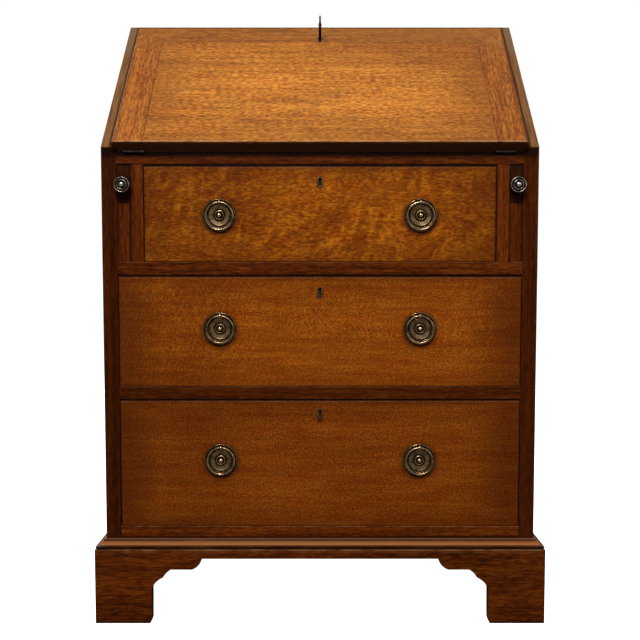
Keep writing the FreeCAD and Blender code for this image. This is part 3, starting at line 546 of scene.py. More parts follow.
def rail_feet(g, x, y, z):
    """Painted shadow on the lower arris of each rail."""
    return g.mul(arris_bands(g, z, RAIL_FEET, SHADOW_BAND), 0.9), NEARLY_BLACK


def lower_rail(g, x, y, z):
    """Painted shade: the lower of the two drawer rails is the darker one."""
    return g.ramp(z, *RAIL_SPLIT, 0.42, 0.0), LOWER_RAIL_SHADE


def under_fall(strength):
    """Dark old polish and shade on the front under the lip of the fall."""
    def cover(g, x, y, z):
        return g.ramp(z, *LIP_SHADE, 0.0, strength), LIP_SHADOW
    return cover


def stile_seams(g, x, y, z):
    """Dark joint lines beside the narrow stiles."""
    across = g.abs(x)
    dark = 0.0
    for level in (STILE_OUT, IN_HALF):
        dark = g.max(fade(g, g.abs(g.sub(across, level)), *STILE_SEAM), dark)
    dark = g.max(fade(g, g.sub(across, STILE_IN), *STILE_EDGE), dark)
    return dark, NEARLY_BLACK


def filler_edges(g, x, y, z):
    """Darker along both sides of the fillers."""
    across = g.abs(x)
    beside = g.min(g.sub(across, STILE_OUT), g.sub(IN_HALF, across))
    return fade(g, beside, *FILLER_SIDE), FILLER_EDGE


def loper_face(g, x, y, z):
    """The ends of the lopers are nearly black with handling and painted shade, which deepens toward their
    foot.
    """
    return g.ramp(z, *LOPER_END, 0.66, 0.74), HANDLED_AND_SHADED


def moulding_lines(g, x, y, z):
    """Painted highlights and shadows, with wear and dirt, along the members of the base moulding."""
    low = MOULD_LIGHT_STOPS[0][0]
    reach = MOULD_LIGHT_STOPS[-1][0] - low
    shades = g.tree.nodes.new("ShaderNodeValToRGB")
    ramp = shades.color_ramp
    ramp.elements[0].position = 0.0
    ramp.elements[0].color = (*MOULD_LIGHT_STOPS[0][1], 1.0)
    ramp.elements[1].color = (*MOULD_LIGHT_STOPS[-1][1], 1.0)
    for level, tint in MOULD_LIGHT_STOPS[1:-1]:
        ramp.elements.new((level - low) / reach).color = (*tint, 1.0)
    g.put(shades.inputs[0], g.ramp(z, BASE_Z + low, BASE_Z + low + reach, smooth=False))
    return patches(g, x, y, z, *MOULD_PATCHES), shades.outputs[0]


def plinth_lines(g, x, y, z):
    """Painted highlight on the top arris of the plinth, with a lighter painted band under it, broken
    unevenly.
    """
    line = g.mul(arris_bands(g, z, [BASE_Z], HIGHLIGHT_BAND), 0.90)
    foot, head, strength = PLINTH_BAND
    soft = g.ramp(z, BASE_Z - foot, BASE_Z - head, 0.0, strength)
    return g.mul(g.max(line, soft), patches(g, x, y, z, *HIGHLIGHT_BREAKS)), RUBBED_HIGHLIGHT


def rail_root(g, x, y, z):
    """Darker along the foot of the bottom rail, where it meets the base moulding."""
    return g.mul(fade(g, z, *ROOT_DARK), 0.65), NEARLY_BLACK


def front_lines(half, foot, head, lip, wings):
    """Dark gap and painted shadow, painted shade and a painted arris highlight round a drawer front,
    strongest at its head.
    """
    # Dark joint lines round the front, widened under the head into a painted shadow
    def gap_and_shadow(g, x, y, z):
        soft, strength = HEAD_GAP_SHADOW
        upper = fade(g, g.sub(head, z), lip - soft, lip, strength)
        flank = fade(g, g.sub(half, g.abs(x)), *FRONT_FLANK)
        lower = fade(g, g.sub(z, foot), *FRONT_FOOT)
        return g.max(upper, g.max(flank, lower)), NEARLY_BLACK

    # Painted shade under the head, at the ends, and in a broad patch on the left
    def shade(g, x, y, z):
        depth, strength = HEAD_SHADE
        upper = fade(g, g.sub(head, z), lip, lip + depth, strength)
        beside = g.sub(half, g.abs(x))
        near = fade(g, beside, *FRONT_ENDS)
        wide = fade(g, beside, *FRONT_WINGS, wings)
        aside = g.abs(g.sub(g.add(half, x), LEFT_SHADE_AT))
        patch = g.max(fade(g, aside, *FRONT_LEFT_SHADE), wide)
        return g.max(upper, g.max(near, patch)), FRONT_SHADE

    # Painted highlight on the arris below the head, broken unevenly
    def front_highlight(g, x, y, z):
        line = band(g, z, *[head - lip - depth for depth in FRONT_BAND])
        return g.mul(g.mul(line, patches(g, x, y, z, *HIGHLIGHT_BREAKS)), 0.42), FRONT_ARRIS_HIGHLIGHT
    return [shade, front_highlight, gap_and_shadow]


def brass_shade(zc):
    """Old polish and shade gathered round the backplates, deeper below them."""
    def cover(g, x, y, z):
        dx = g.sub(g.abs(x), PULL_X)
        dz = g.sub(z, zc - PULL_HANG)
        return fade(g, g.away(dx, dz), *PULL_HALO), PULL_SHADE
    return cover


def keyhole_shade(zc):
    """Dark rim of polish round the thread escutcheon."""
    def cover(g, x, y, z):
        dx = g.math("DIVIDE", x, KEYHOLE_HALF[0])
        dz = g.math("DIVIDE", g.sub(z, zc - KEYHOLE_HANG), KEYHOLE_HALF[1])
        return fade(g, g.away(dx, dz), *KEYHOLE_HALO), KEYHOLE_RIM
    return cover


def oak(name, tones, grain, seed, fine, streak, broad=(3.0, 22.0, 0.8), rays=(), pores=0.5, gloss=0.45,
        sheen=0.05, dirt=0.6, arris=(0.010, 0.003, 0.001), rub=0.6, border=None, stains=0.0, hues=0.0,
        covers=(), sway=0.0):
    """Oak with growth bands, streaks, fine figure, rays, pores, rubbed arrises, and dirt and painted
    shade in corners.

    fine, streak and broad each give waves per metre along and across the grain, and the strength.
    Each of the rays gives its turn in degrees, the same two counts and the strength.
    border gives half the width, foot and head of a field that darkens toward its edges with dirt and
    painted shade, how far that reaches and how dark it is.
    """
    dark, mid, light = tones
    g = Graph(name)
    x, y, z = g.position()
    a, b, c = grain(g, x, y, z)
    across = b
    a, b, c = [g.add(value, seed * step) for value, step in zip((a, b, c), SEED_STEPS)]
    if sway:
        bend = g.noise(g.combine(g.mul(a, 9.0), g.mul(b, 14.0), c), detail=1.0)
        b = g.add(b, g.shift(bend, sway))

    def field(length, width):
        return g.combine(g.mul(a, length), g.mul(b, width), g.mul(c, width))

    fibre = g.noise(field(fine[0], fine[1]), detail=3.0, rough=0.6, distort=0.3)
    tone = g.add(g.shift(fibre, fine[2]), 0.5)
    streaks = g.noise(field(streak[0], streak[1]), detail=3.0, rough=0.6, distort=0.3)
    tone = g.add(tone, g.shift(streaks, streak[2]))
    bands = g.noise(field(broad[0], broad[1]), detail=2.0, rough=0.5, distort=0.5)
    tone = g.add(tone, g.shift(bands, broad[2]))
    warp = g.noise(field(11.0, 11.0), detail=2.0)
    for i, (turn, length, width, gain) in enumerate(rays):
        lean = math.radians(turn)
        ra = g.add(g.mul(a, math.cos(lean)), g.mul(b, math.sin(lean)))
        rb = g.sub(g.mul(b, math.cos(lean)), g.mul(a, math.sin(lean)))
        spot = g.combine(g.add(g.mul(ra, length), g.mul(warp, 2.0)),
                         g.add(g.mul(rb, width), g.mul(warp, 4.0)), c)
        ray = g.ramp(g.noise(spot, detail=2.0, rough=0.55, distort=0.5), 0.47, 0.64, -0.3, 0.7)
        patch = g.noise(g.combine(g.mul(a, 7.0), g.mul(b, 12.0), i * 7.3), detail=1.0)
        ray = g.mul(ray, g.ramp(patch, 0.38, 0.60, 0.2, 1.0))
        tone = g.add(tone, g.mul(ray, gain))
    shades = g.tree.nodes.new("ShaderNodeValToRGB")
    shades.color_ramp.elements[0].color = (*dark, 1.0)
    shades.color_ramp.elements[1].color = (*light, 1.0)
    shades.color_ramp.elements.new(0.5).color = (*mid, 1.0)
    g.put(shades.inputs[0], tone)
    colour = shades.outputs[0]

    pore = g.noise(field(fine[0] * 0.7, fine[1] * 1.1), detail=2.0, rough=0.6)
    pits = g.ramp(pore, 0.58, 0.70)
    colour = g.mix(g.mul(pits, pores), colour, [v * 0.4 for v in dark])
    height = g.sub(g.mul(fibre, 0.5), g.mul(pits, 0.8))

    if hues:
        hue = g.noise(g.combine(g.mul(a, 16.0), g.mul(b, 52.0), seed), detail=3.0, rough=0.6)
        redder = g.mix(1.0, colour, REDDER, "MULTIPLY")
        golden = g.mix(1.0, colour, GOLDEN, "MULTIPLY")
        colour = g.mix(g.ramp(hue, 0.36, 0.50, hues, 0.0), colour, redder)
        colour = g.mix(g.ramp(hue, 0.50, 0.66, 0.0, hues), colour, golden)
    if stains:
        spot = g.noise(g.combine(g.mul(a, 13.0), g.mul(b, 26.0), c), detail=4.0, rough=0.7)
        colour = g.mix(g.mul(g.ramp(spot, 0.55, 0.72), stains), colour, OLD_STAIN)
    # Dirt and painted shade toward the edges of the field
    if border:
        half, foot, head, reach, amount = border
        beside = g.min(g.sub(x, -half), g.sub(half, x))
        above = g.min(g.sub(across, foot), g.sub(head, across))
        near = g.min(g.mul(beside, 0.5), above)
        wobble = g.noise(g.combine(x, across, 0.0), scale=22.0, detail=2.0)
        near = g.add(near, g.shift(wobble, reach * 0.8))
        colour = g.mix(g.ramp(near, 0.0, reach, amount, 0.0), colour, [v * 0.8 for v in dark])
    soft = g.rounded(WOOD_EASE)
    # Dirt and painted shade gathered in corners and crevices
    if dirt:
        grime_and_shade = g.mul(g.crevice(*WOOD_GRIME_AND_SHADE), dirt)
        colour = g.mix(grime_and_shade, colour, [v * 0.18 for v in dark])
    if rub:
        patchy = g.noise(g.combine(x, y, z), scale=60.0, detail=2.0)
        edge = g.mul(g.arris(soft, *WOOD_ARRIS), g.ramp(patchy, 0.35, 0.6, 0.55, 1.0))
        colour = g.mix(g.mul(edge, rub), colour, arris)
    for cover in covers:
        mask, tint = cover(g, x, y, z)
        colour = g.mix(mask, colour, tint)

    g.put(g.bsdf.inputs["Base Color"], colour)
    rough = g.add(gloss, g.shift(fibre, 0.25))
    rough = g.add(rough, g.mul(pits, 0.18))
    g.put(g.bsdf.inputs["Roughness"], rough)
    g.bsdf.inputs["Specular IOR Level"].default_value = sheen
    g.put(g.bsdf.inputs["Normal"], g.bump(height, *WOOD_RELIEF, soft))
    return g.mat


def metal(name, bright, dull, gloss, patina):
    """Old metal: bright on the rubbed parts, dull and dark in the hollows."""
    g = Graph(name)
    x, y, z = g.position()
    spot = g.combine(x, y, z)
    cloud = g.noise(spot, scale=120.0, detail=4.0, rough=0.6)
    fine = g.noise(spot, scale=620.0, detail=2.0, rough=0.6)
    turned = g.tree.nodes.new("ShaderNodeAttribute")
    turned.attribute_name = "hollow"
    hollow = g.max(g.crevice(*METAL_GRIME), turned.outputs["Fac"])
    tarnish = g.ramp(g.add(cloud, g.shift(fine, 0.5)), 0.36, 0.66, 0.1, patina)
    colour = g.mix(tarnish, bright, dull)
    colour = g.mix(g.mul(hollow, 0.95), colour, [v * 0.20 for v in dull])
    polished = g.ramp(turned.outputs["Fac"], -0.6, 0.0, 0.90, 0.0)
    colour = g.mix(polished, colour, [v * 1.3 for v in bright])
    g.put(g.bsdf.inputs["Base Color"], colour)
    g.bsdf.inputs["Metallic"].default_value = 1.0
    rough = g.add(gloss, g.shift(fine, 0.14))
    rough = g.add(rough, g.mul(hollow, 0.30))
    g.put(g.bsdf.inputs["Roughness"], rough)
    g.put(g.bsdf.inputs["Normal"], g.bump(fine, *METAL_RELIEF, g.rounded(METAL_EASE)))
    return g.mat


def paint(names, mat):
    """Give CAD nodes or pieces a material."""
    for name in names:
        obj = nodes[name] if isinstance(name, str) else name
        obj.data.materials.clear()
        obj.data.materials.append(mat)


# Meshes

# How far to each side the turned profile is looked at, and how deep a groove counts as a hollow
HOLLOW_REACH = 0.0026
HOLLOW_DEPTH = 0.0011

# Turned profiles as radius and height in millimetres
PLATE_PROFILE = [
    (20.0, 0.0), (25.9, 0.0), (26.1, 0.6), (26.0, 1.5), (25.7, 2.1), (25.3, 2.2), (24.9, 1.8),
    (24.5, 0.9), (24.2, 0.4), (20.4, 0.4), (19.8, 0.3), (17.9, 0.3), (17.4, 0.9), (17.0, 2.2),
    (16.6, 2.4), (16.0, 2.0), (13.4, 1.5), (11.2, 1.1), (10.6, 1.0), (10.2, 0.9), (9.8, 0.4),
    (8.6, 0.4), (8.2, 1.4), (7.8, 2.6), (7.2, 3.3), (6.5, 3.4), (5.9, 2.9), (5.5, 1.8),
    (5.1, 1.0), (4.5, 1.0), (4.2, 2.2), (3.9, 3.8), (3.4, 5.2), (2.6, 6.4), (1.3, 7.2), (0.02, 7.4),
]
KNOB_PROFILE = [
    (8.6, 0.0), (8.9, 0.5), (8.6, 1.2), (7.0, 1.7), (5.4, 2.6), (5.0, 4.6), (5.0, 7.6), (6.8, 8.7),
    (10.2, 9.2), (12.0, 9.7), (12.7, 10.6), (12.9, 11.8), (12.9, 13.6), (12.6, 15.0), (11.9, 16.1),
    (11.2, 16.3), (10.6, 15.7), (10.1, 14.6), (9.4, 14.2), (8.8, 14.8), (8.3, 16.2), (7.6, 17.1),
    (6.9, 17.0), (6.4, 16.0), (5.9, 14.8), (5.3, 14.7), (4.9, 15.8), (4.4, 17.4), (3.5, 18.8),
    (2.2, 19.6), (0.02, 19.9),
]
SHANK_PROFILE = [
    (1.6, 2.6), (2.2, 3.0), (2.3, 3.6), (2.3, 43.2), (2.4, 43.7), (2.8, 44.4), (2.9, 45.2), (2.8, 46.0),
    (2.4, 46.6), (2.6, 47.3), (2.9, 48.0), (2.8, 48.8), (2.2, 49.6), (1.9, 51.0), (1.5, 54.4),
]
LUG_PROFILE = [
    (2.1, 0.0), (2.9, 0.0), (3.3, 0.5), (3.5, 1.2), (3.5, 2.8), (3.3, 3.5), (2.9, 4.0), (2.1, 4.0),
]
POST_PROFILE = [(2.0, 0.0), (2.4, 0.4), (2.4, 28.0), (2.0, 28.0)]
NUT_PROFILE = [(5.4, 0.0), (6.0, 0.5), (6.0, 2.6), (5.4, 3.0)]
PEG_PROFILE = [(2.0, 0.0), (2.2, 0.5), (2.2, 12.2), (2.0, 12.4)]

# Radii that polish leaves dull on the plates, those rubbed bright, and the milling of the knobs' rim
PLATE_DULL = (0.0098, 0.0166, 0.55)
PLATE_RUBBED = 0.0044
KNOB_RUBBED = 0.0040
KNOB_MILLING = (0.0124, 0.0131, 0.00016, 48)
KEY_BOW_R = 0.0081
KEY_BOW_TUBE = 0.0017
KEY_BOW_AT = 0.054
# Corners of the key's bit, and of the neck between lug and plate, about the lug's middle at the front face
KEY_BIT = ((-0.0011, -0.0085, 0.0032), (0.0011, 0.0, 0.0090))
LUG_NECK = ((-0.0017, -0.0013, -0.0032), (0.0017, -0.0004, 0.0030))
# Half the lug's length, and how far behind the front posts, nuts and the knobs' pegs begin
LUG_HALF = 0.002
POST_DEPTH = 0.028
NUT_DEPTH = 0.025
PEG_DEPTH = 0.012
# Sides of the turned pieces, and steps between two points of an eased profile
PLATE_SIDES = 96
KNOB_SIDES = 192
ROD_SIDES = 20
NUT_SIDES = 4
SHANK_SIDES = 28
LUG_SIDES = 40
EASING = 3


def finish_mesh(name, bm, sharp_deg=32.0):
    """Object from a bmesh, smooth except across its sharp edges."""
    bmesh.ops.recalc_face_normals(bm, faces=bm.faces)
    limit = math.radians(sharp_deg)
    for edge in bm.edges:
        edge.smooth = not (edge.is_manifold and edge.calc_face_angle(0.0) > limit)
    for face in bm.faces:
        face.smooth = True
    mesh = bpy.data.meshes.new(name)
    bm.to_mesh(mesh)
    bm.free()
    obj = bpy.data.objects.new(name, mesh)
    bpy.context.scene.collection.objects.link(obj)
    return obj


def spun(r, turn, h):
    """Point at a radius, angle and height about local Z."""
    return Vector((r * math.cos(turn), r * math.sin(turn), h))


def skin(bm, low, high):
    """Faces between two closed rows of as many points."""
    count = len(low)
    for i in range(count):
        k = (i + 1) % count
        bm.faces.new((low[i], low[k], high[k], high[i]))


def lathe(bm, profile, count, place, flute=None, dull=None, rubbed=0.0):
    """Turn (radius, height) pairs about local Z, noting how deep each lies beside its neighbours.

    flute gives two radii, a depth and a count, dull two radii and how dark, and rubbed a radius.
    """
    layer = bm.verts.layers.float.get("hollow") or bm.verts.layers.float.new("hollow")
    rows = []
    for r, h in profile:
        around = max(b for a, b in profile if abs(a - r) < HOLLOW_REACH)
        depth = min(max((around - h) / HOLLOW_DEPTH - 0.5, 0.0), 1.0)
        if dull and dull[0] <= r <= dull[1]:
            depth = max(depth, dull[2])
        if r < rubbed:
            depth = r / rubbed - 1.0
        row = []
        for i in range(count):
            turn = math.tau * i / count
            reach = r
            if flute and flute[0] <= r <= flute[1]:
                reach = r + flute[2] * math.cos(turn * flute[3])
            vert = bm.verts.new(place @ spun(reach, turn, h))
            vert[layer] = depth
            row.append(vert)
        rows.append(row)
    for low, high in zip(rows, rows[1:]):
        skin(bm, low, high)
    for row in (rows[0], rows[-1]):
        bm.faces.new(row)


def tube_ring(bm, ring_r, tube_r, place, count=96, sides=20, swell=0.0):
    """Round bent ring about local Z, a little thicker at the foot."""
    rows = []
    for i in range(count):
        turn = math.tau * i / count
        thick = tube_r * (1.0 - swell * 0.5 * (1.0 + math.sin(turn)))
        row = []
        for k in range(sides):
            tip = math.tau * k / sides
            r = ring_r + thick * math.cos(tip)
            row.append(bm.verts.new(place @ spun(r, turn, thick * math.sin(tip))))
        rows.append(row)
    for low, high in zip(rows, rows[1:] + rows[:1]):
        skin(bm, low, high)


def outward(x, y, z):
    """Place a piece turned about Z so that its head points out of the front."""
    return Matrix.Translation((x, y, z)) @ Matrix.Rotation(math.pi / 2, 4, "X")


def smooth_line(points, steps):
    """Profile with its corners eased by sampling a curve through the points."""
    out = []
    n = len(points)
    for i in range(n - 1):
        p0 = Vector(points[max(i - 1, 0)])
        p1 = Vector(points[i])
        p2 = Vector(points[i + 1])
        p3 = Vector(points[min(i + 2, n - 1)])
        for k in range(steps):
            t = k / steps
            t2 = t * t
            t3 = t2 * t
            out.append(0.5 * ((2 * p1) + (p2 - p0) * t + (2 * p0 - 5 * p1 + 4 * p2 - p3) * t2
                              + (3 * p1 - p0 - 3 * p2 + p3) * t3))
    out.append(Vector(points[-1]))
    return [(max(p.x, 0.00002), p.y) for p in out]


def scaled(profile):
    """Profile in metres."""
    return [(r * MM, h * MM) for r, h in profile]


def block(bm, low, high):
    """Plain block between two corners, used only inside larger pieces."""
    made = bmesh.ops.create_cube(bm, size=1.0)
    size = Vector(high) - Vector(low)
    middle = (Vector(high) + Vector(low)) / 2
    for v in made["verts"]:
        v.co = Vector((v.co.x * size.x, v.co.y * size.y, v.co.z * size.z)) + middle
    return made["verts"]


def pull(name, side, sx, mat):
    """Backplate with lug, post and nut, and the ring that hangs from the lug."""
    x = sx * PULL_X
    z = PULL_Z[name]
    bm = bmesh.new()
    lathe(bm, smooth_line(scaled(PLATE_PROFILE), EASING), PLATE_SIDES, outward(x, FRONT_Y, z),
          dull=PLATE_DULL, rubbed=PLATE_RUBBED)
    axis_z = z - RING_DROP + RING_R
    lug = (Matrix.Translation((x - LUG_HALF, FRONT_Y - RING_OFF, axis_z))
           @ Matrix.Rotation(math.pi / 2, 4, "Y"))
    rows = []
    for r, h in scaled(LUG_PROFILE):
        rows.append([bm.verts.new(lug @ spun(r, math.tau * i / LUG_SIDES, h)) for i in range(LUG_SIDES)])
    for low, high in zip(rows, rows[1:] + rows[:1]):
        skin(bm, low, high)
    block(bm, *[(x + dx, FRONT_Y + dy, axis_z + dz) for dx, dy, dz in LUG_NECK])
    lathe(bm, scaled(POST_PROFILE), ROD_SIDES, outward(x, FRONT_Y + POST_DEPTH, z))
    square = Matrix.Rotation(math.pi / 4, 4, "Z")
    lathe(bm, scaled(NUT_PROFILE), NUT_SIDES, outward(x, FRONT_Y + NUT_DEPTH, z) @ square)
    plate = finish_mesh("pull_" + name + "_" + side, bm)
    paint([plate], mat)
    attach(plate, "drawer_" + name)
    bm = bmesh.new()
    tube_ring(bm, RING_R, RING_TUBE, outward(x, FRONT_Y - RING_OFF, z - RING_DROP), swell=RING_SWELL)
    ring = finish_mesh("ring_" + name + "_" + side, bm)
    paint([ring], mat)
    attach(ring, "drawer_" + name + "_ring_" + side)
    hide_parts("drawer_" + name + "_ring_" + side)
    return plate


def loper_knob(side, sx, mat):
    """Turned knob with a milled rim."""
    bm = bmesh.new()
    lathe(bm, smooth_line(scaled(KNOB_PROFILE), EASING), KNOB_SIDES, outward(sx * KNOB_X, KNOB_Y, KNOB_Z),
          flute=KNOB_MILLING, rubbed=KNOB_RUBBED)
    lathe(bm, scaled(PEG_PROFILE), ROD_SIDES, outward(sx * KNOB_X, KNOB_Y + PEG_DEPTH, KNOB_Z))
    knob = finish_mesh("loper_pull_" + side, bm)
    paint([knob], mat)
    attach(knob, "loper_" + side)
    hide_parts("loper_knob_" + side)


def door_key(mat):
    """Key with a moulded collar and an open bow, standing in the fall's lock."""
    bm = bmesh.new()
    stand = (Matrix.Translation((0.0, PIN_Y, DESK_Z)) @ Matrix.Rotation(SLOPE, 4, "X")
             @ Matrix.Translation((0.0, KEY_U, 0.0)))
    lathe(bm, scaled(SHANK_PROFILE), SHANK_SIDES, stand)
    for v in block(bm, *KEY_BIT):
        v.co = stand @ v.co
    bow = stand @ Matrix.Translation((0.0, 0.0, KEY_BOW_AT)) @ Matrix.Rotation(math.pi / 2, 4, "Y")
    tube_ring(bm, KEY_BOW_R, KEY_BOW_TUBE, bow, count=72, sides=16)
    key = finish_mesh("fall_key", bm)
    paint([key], mat)
    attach(key, "key")
    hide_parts("key")


# Materials of the parts

# Bright and dull colour, roughness and tarnish of each metal
METALS = {
    "antique_brass": ((0.44, 0.285, 0.138), (0.060, 0.0345, 0.0155), 0.30, 0.80),
    "knob_brass": ((0.42, 0.35, 0.285), (0.050, 0.040, 0.031), 0.30, 0.80),
    "lock_brass": ((0.21, 0.138, 0.066), (0.048, 0.032, 0.017), 0.42, 0.9),
    "hinge_metal": ((0.030, 0.022, 0.016), (0.010, 0.0075, 0.0060), 0.50, 0.9),
    "dark_iron": ((0.08, 0.075, 0.07), (0.018, 0.016, 0.014), 0.38, 0.9),
}

# Figures that several pieces share: waves per metre along and across the grain, and strength
UPRIGHT = {"fine": (60.0, 330.0, 1.7), "streak": (4.0, 150.0, 1.5), "broad": (1.2, 50.0, 0.8),
           "pores": 0.3, "sheen": 0.03}
LEVEL = {"fine": (75.0, 330.0, 2.1), "streak": (7.0, 180.0, 1.8), "broad": (1.5, 60.0, 0.8),
         "pores": 0.3, "sheen": 0.03}
MOULDED = {"fine": (60.0, 300.0, 1.6), "streak": (8.0, 200.0, 1.4), "gloss": 0.42, "sheen": 0.05,
           "rub": 0.0, "dirt": 0.3}
STREAKY = {"fine": (72.0, 380.0, 2.3), "streak": (11.0, 190.0, 1.5), "broad": (2.5, 45.0, 1.0),
           "pores": 0.3, "sway": 0.020, "sheen": 0.03}
PANEL = {"fine": (115.0, 360.0, 3.1), "streak": (6.0, 120.0, 1.3), "broad": (1.5, 14.0, 0.5),
         "pores": 0.62, "gloss": 0.44, "stains": 0.35, "hues": 0.35, "dirt": 0.5, "sheen": 0.05,
         "border": (FALL_HALF, 0.0, FALL_LEN, 0.10, 0.40)}
CLAMPS = {"fine": (90.0, 390.0, 2.5), "streak": (4.0, 190.0, 1.3), "pores": 0.40, "gloss": 0.44,
          "stains": 0.25, "hues": 0.35, "dirt": 0.5, "sheen": 0.05}
FRONT = {"pores": 0.35, "rub": 0.0, "sheen": 0.04, "hues": 0.55}
DRY = {"gloss": 0.62, "rub": 0.15, "pores": 0.4, "fine": (120.0, 420.0, 1.6), "streak": (14.0, 170.0, 1.2)}
RAW = {"gloss": 0.68, "rub": 0.1, "pores": 0.12, "fine": (90.0, 300.0, 0.8), "streak": (8.0, 120.0, 1.4)}

# Tones and figure of each drawer front
FIGURES = {
    "top": (TOP_OAK, {
        "fine": (135.0, 400.0, 2.1), "streak": (22.0, 140.0, 0.55), "broad": (6.0, 30.0, 0.4), "sway": 0.03,
        "rays": ((38.0, 13.0, 58.0, 0.30), (62.0, 20.0, 70.0, 0.30), (84.0, 30.0, 90.0, 0.16))}),
    "middle": (MIDDLE_OAK, {
        "fine": (330.0, 430.0, 2.1), "streak": (9.0, 120.0, 0.8), "broad": (3.0, 26.0, 0.4),
        "rays": ((-60.0, 55.0, 320.0, 0.22), (62.0, 55.0, 320.0, 0.20))}),
    "bottom": (BOTTOM_OAK, {
        "fine": (360.0, 430.0, 2.2), "streak": (9.0, 125.0, 0.7), "broad": (3.0, 22.0, 0.35),
        "rays": ((60.0, 150.0, 330.0, 0.12), (-60.0, 150.0, 330.0, 0.1))}),
}


def fronts(*covers):
    """Covers kept to the front face."""
    return [at_front(cover) for cover in covers]


def dress():
    """Paint every CAD node and build the fine metalwork."""
    lip = under_fall(0.8)
    stiles = fronts(stile_seams)
    paint(["side_left"], oak("oak_side_left", LEFT_OAK, grain_z, 1.0,
                             covers=fronts(edge_shade(0.38), lip) + [side_strip], **UPRIGHT))
    paint(["side_right"], oak("oak_side_right", RIGHT_OAK, grain_z, 2.0,
                              covers=fronts(edge_shade(0.36), lip) + [side_strip], **UPRIGHT))
    paint(["loper_stiles"], oak("oak_stiles", OAK, grain_z, 3.0,
                                covers=stiles + fronts(under_fall(0.6)), **UPRIGHT))
    paint(["loper_fillers"], oak("oak_fillers", OAK, grain_z, 4.0,
                                 covers=fronts(filler_edges) + stiles, **UPRIGHT))
    paint(["loper_left", "loper_right"], oak("oak_lopers", LEFT_OAK, grain_y, 5.0,
                                             covers=fronts(loper_face) + stiles, **LEVEL))
    paint(["top_board"], oak("oak_top", OAK, grain_x, 6.0, covers=[side_strip], **LEVEL))
    paint(["desk_board"], oak("oak_desk", OAK, grain_x, 7.0,
                              covers=fronts(rail_feet, under_fall(0.97)), **LEVEL))
    paint(["drawer_rails"], oak("oak_rails", OAK, grain_x, 8.0,
                                covers=fronts(lower_rail, rail_arrises(0.35), rail_feet), **LEVEL))
    paint(["bottom_rail"], oak("oak_bottom_rail", FOOT_OAK, grain_x, 9.0,
                               covers=fronts(rail_arrises(0.8), rail_root), **LEVEL))
    paint(["base_moulding"], oak("oak_moulding", MOULD_OAK, grain_moulding, 10.0,
                                 covers=[moulding_lines], **MOULDED))
    paint(["plinth_front"], oak("oak_plinth", OAK, grain_x, 11.0, covers=[plinth_lines], **STREAKY))
    paint(["plinth_sides"], oak("oak_plinth_sides", OAK, grain_y, 12.0, covers=[plinth_lines], **STREAKY))

    # Joint lines, old polish, painted shade and painted highlight on the fall
    polish = [fall_joints, fall_edges, lower_arris]
    paint(["fall_panel"], oak("oak_fall_panel", FALL_OAK, grain_panel, 13.0,
                              covers=[dim_border] + polish, **PANEL))
    paint(["fall_clamps"], oak("oak_fall_clamps", CLAMP_OAK, grain_clamps, 14.0,
                               covers=[grey_head] + polish, **CLAMPS))

    for name, (half, foot, head, gap_and_shadow, wings) in FRONTS.items():
        tones, figure = FIGURES[name]
        covers = fronts(*front_lines(half, foot, head, gap_and_shadow, wings), brass_shade(PULL_Z[name]),
                        keyhole_shade(head + 0.0007 - KEY_DROP))
        paint(["drawer_" + name + "_front"],
              oak("oak_drawer_" + name, tones, grain_x, 15.0, border=(half, foot, head, 0.05, 0.35),
                  covers=covers, **FRONT, **figure))

    paint(["drawer_top_sides", "drawer_middle_sides", "drawer_bottom_sides"],
          oak("oak_drawer_sides", LINING, grain_y, 18.0, **DRY))
    paint(["drawer_top_bottom", "drawer_middle_bottom", "drawer_bottom_bottom"],
          oak("oak_drawer_floors", LINING, grain_y, 19.0, **DRY))
    inner = dict(DRY, gloss=0.5)
    paint(["pigeonhole_case", "small_drawer_left", "small_drawer_middle", "small_drawer_right"],
          oak("oak_pigeonholes", INNER_OAK, grain_x, 20.0, **inner))
    paint(["pigeonhole_dividers"], oak("oak_dividers", INNER_OAK, grain_y, 21.0, **inner))
    paint(["back_boards"], oak("pine_back", PINE, grain_z, 22.0, covers=[board_joints], **RAW))
    paint(["bottom_board", "dust_boards"], oak("pine_boards", PINE, grain_x, 23.0, **RAW))
    paint(["drawer_runners", "loper_guides", "drawer_stops", "plinth_blocks"],
          oak("pine_bars", PINE, grain_y, 24.0, **RAW))

    brass, knob_brass, lock_brass, hinge_metal, iron = [metal(name, *look) for name, look in METALS.items()]
    paint(["hinge_leaves_desk", "hinge_leaves_fall"], hinge_metal)
    paint(["fall_lock", "fall_strike"] + ["drawer_" + name + "_lock" for name in FRONTS], lock_brass)
    paint(["fall_bolt"] + ["drawer_" + name + "_bolt" for name in FRONTS], iron)
    hands = (("left", -1.0), ("right", 1.0))
    for name in PULL_Z:
        plates = [pull(name, side, sx, brass) for side, sx in hands]
        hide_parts("drawer_" + name + "_plates")
    for side, sx in hands:
        loper_knob(side, sx, knob_brass)
    door_key(iron)


# Floor, lights, world and camera

# Corners of the floor, its two tones, and what it gives back to wood and to glossy surfaces
FLOOR = ((-40.0, -8.0), (40.0, -8.0), (40.0, 60.0), (-40.0, 60.0))
PAPER = ((0.80, 0.80, 0.80), (0.83, 0.83, 0.83))
BOUNCE = ((0.16, 0.155, 0.15), (0.22, 0.22, 0.22))
PAPER_GLOW = 1.05
WHITE = (1.0, 1.0, 1.0, 1.0)
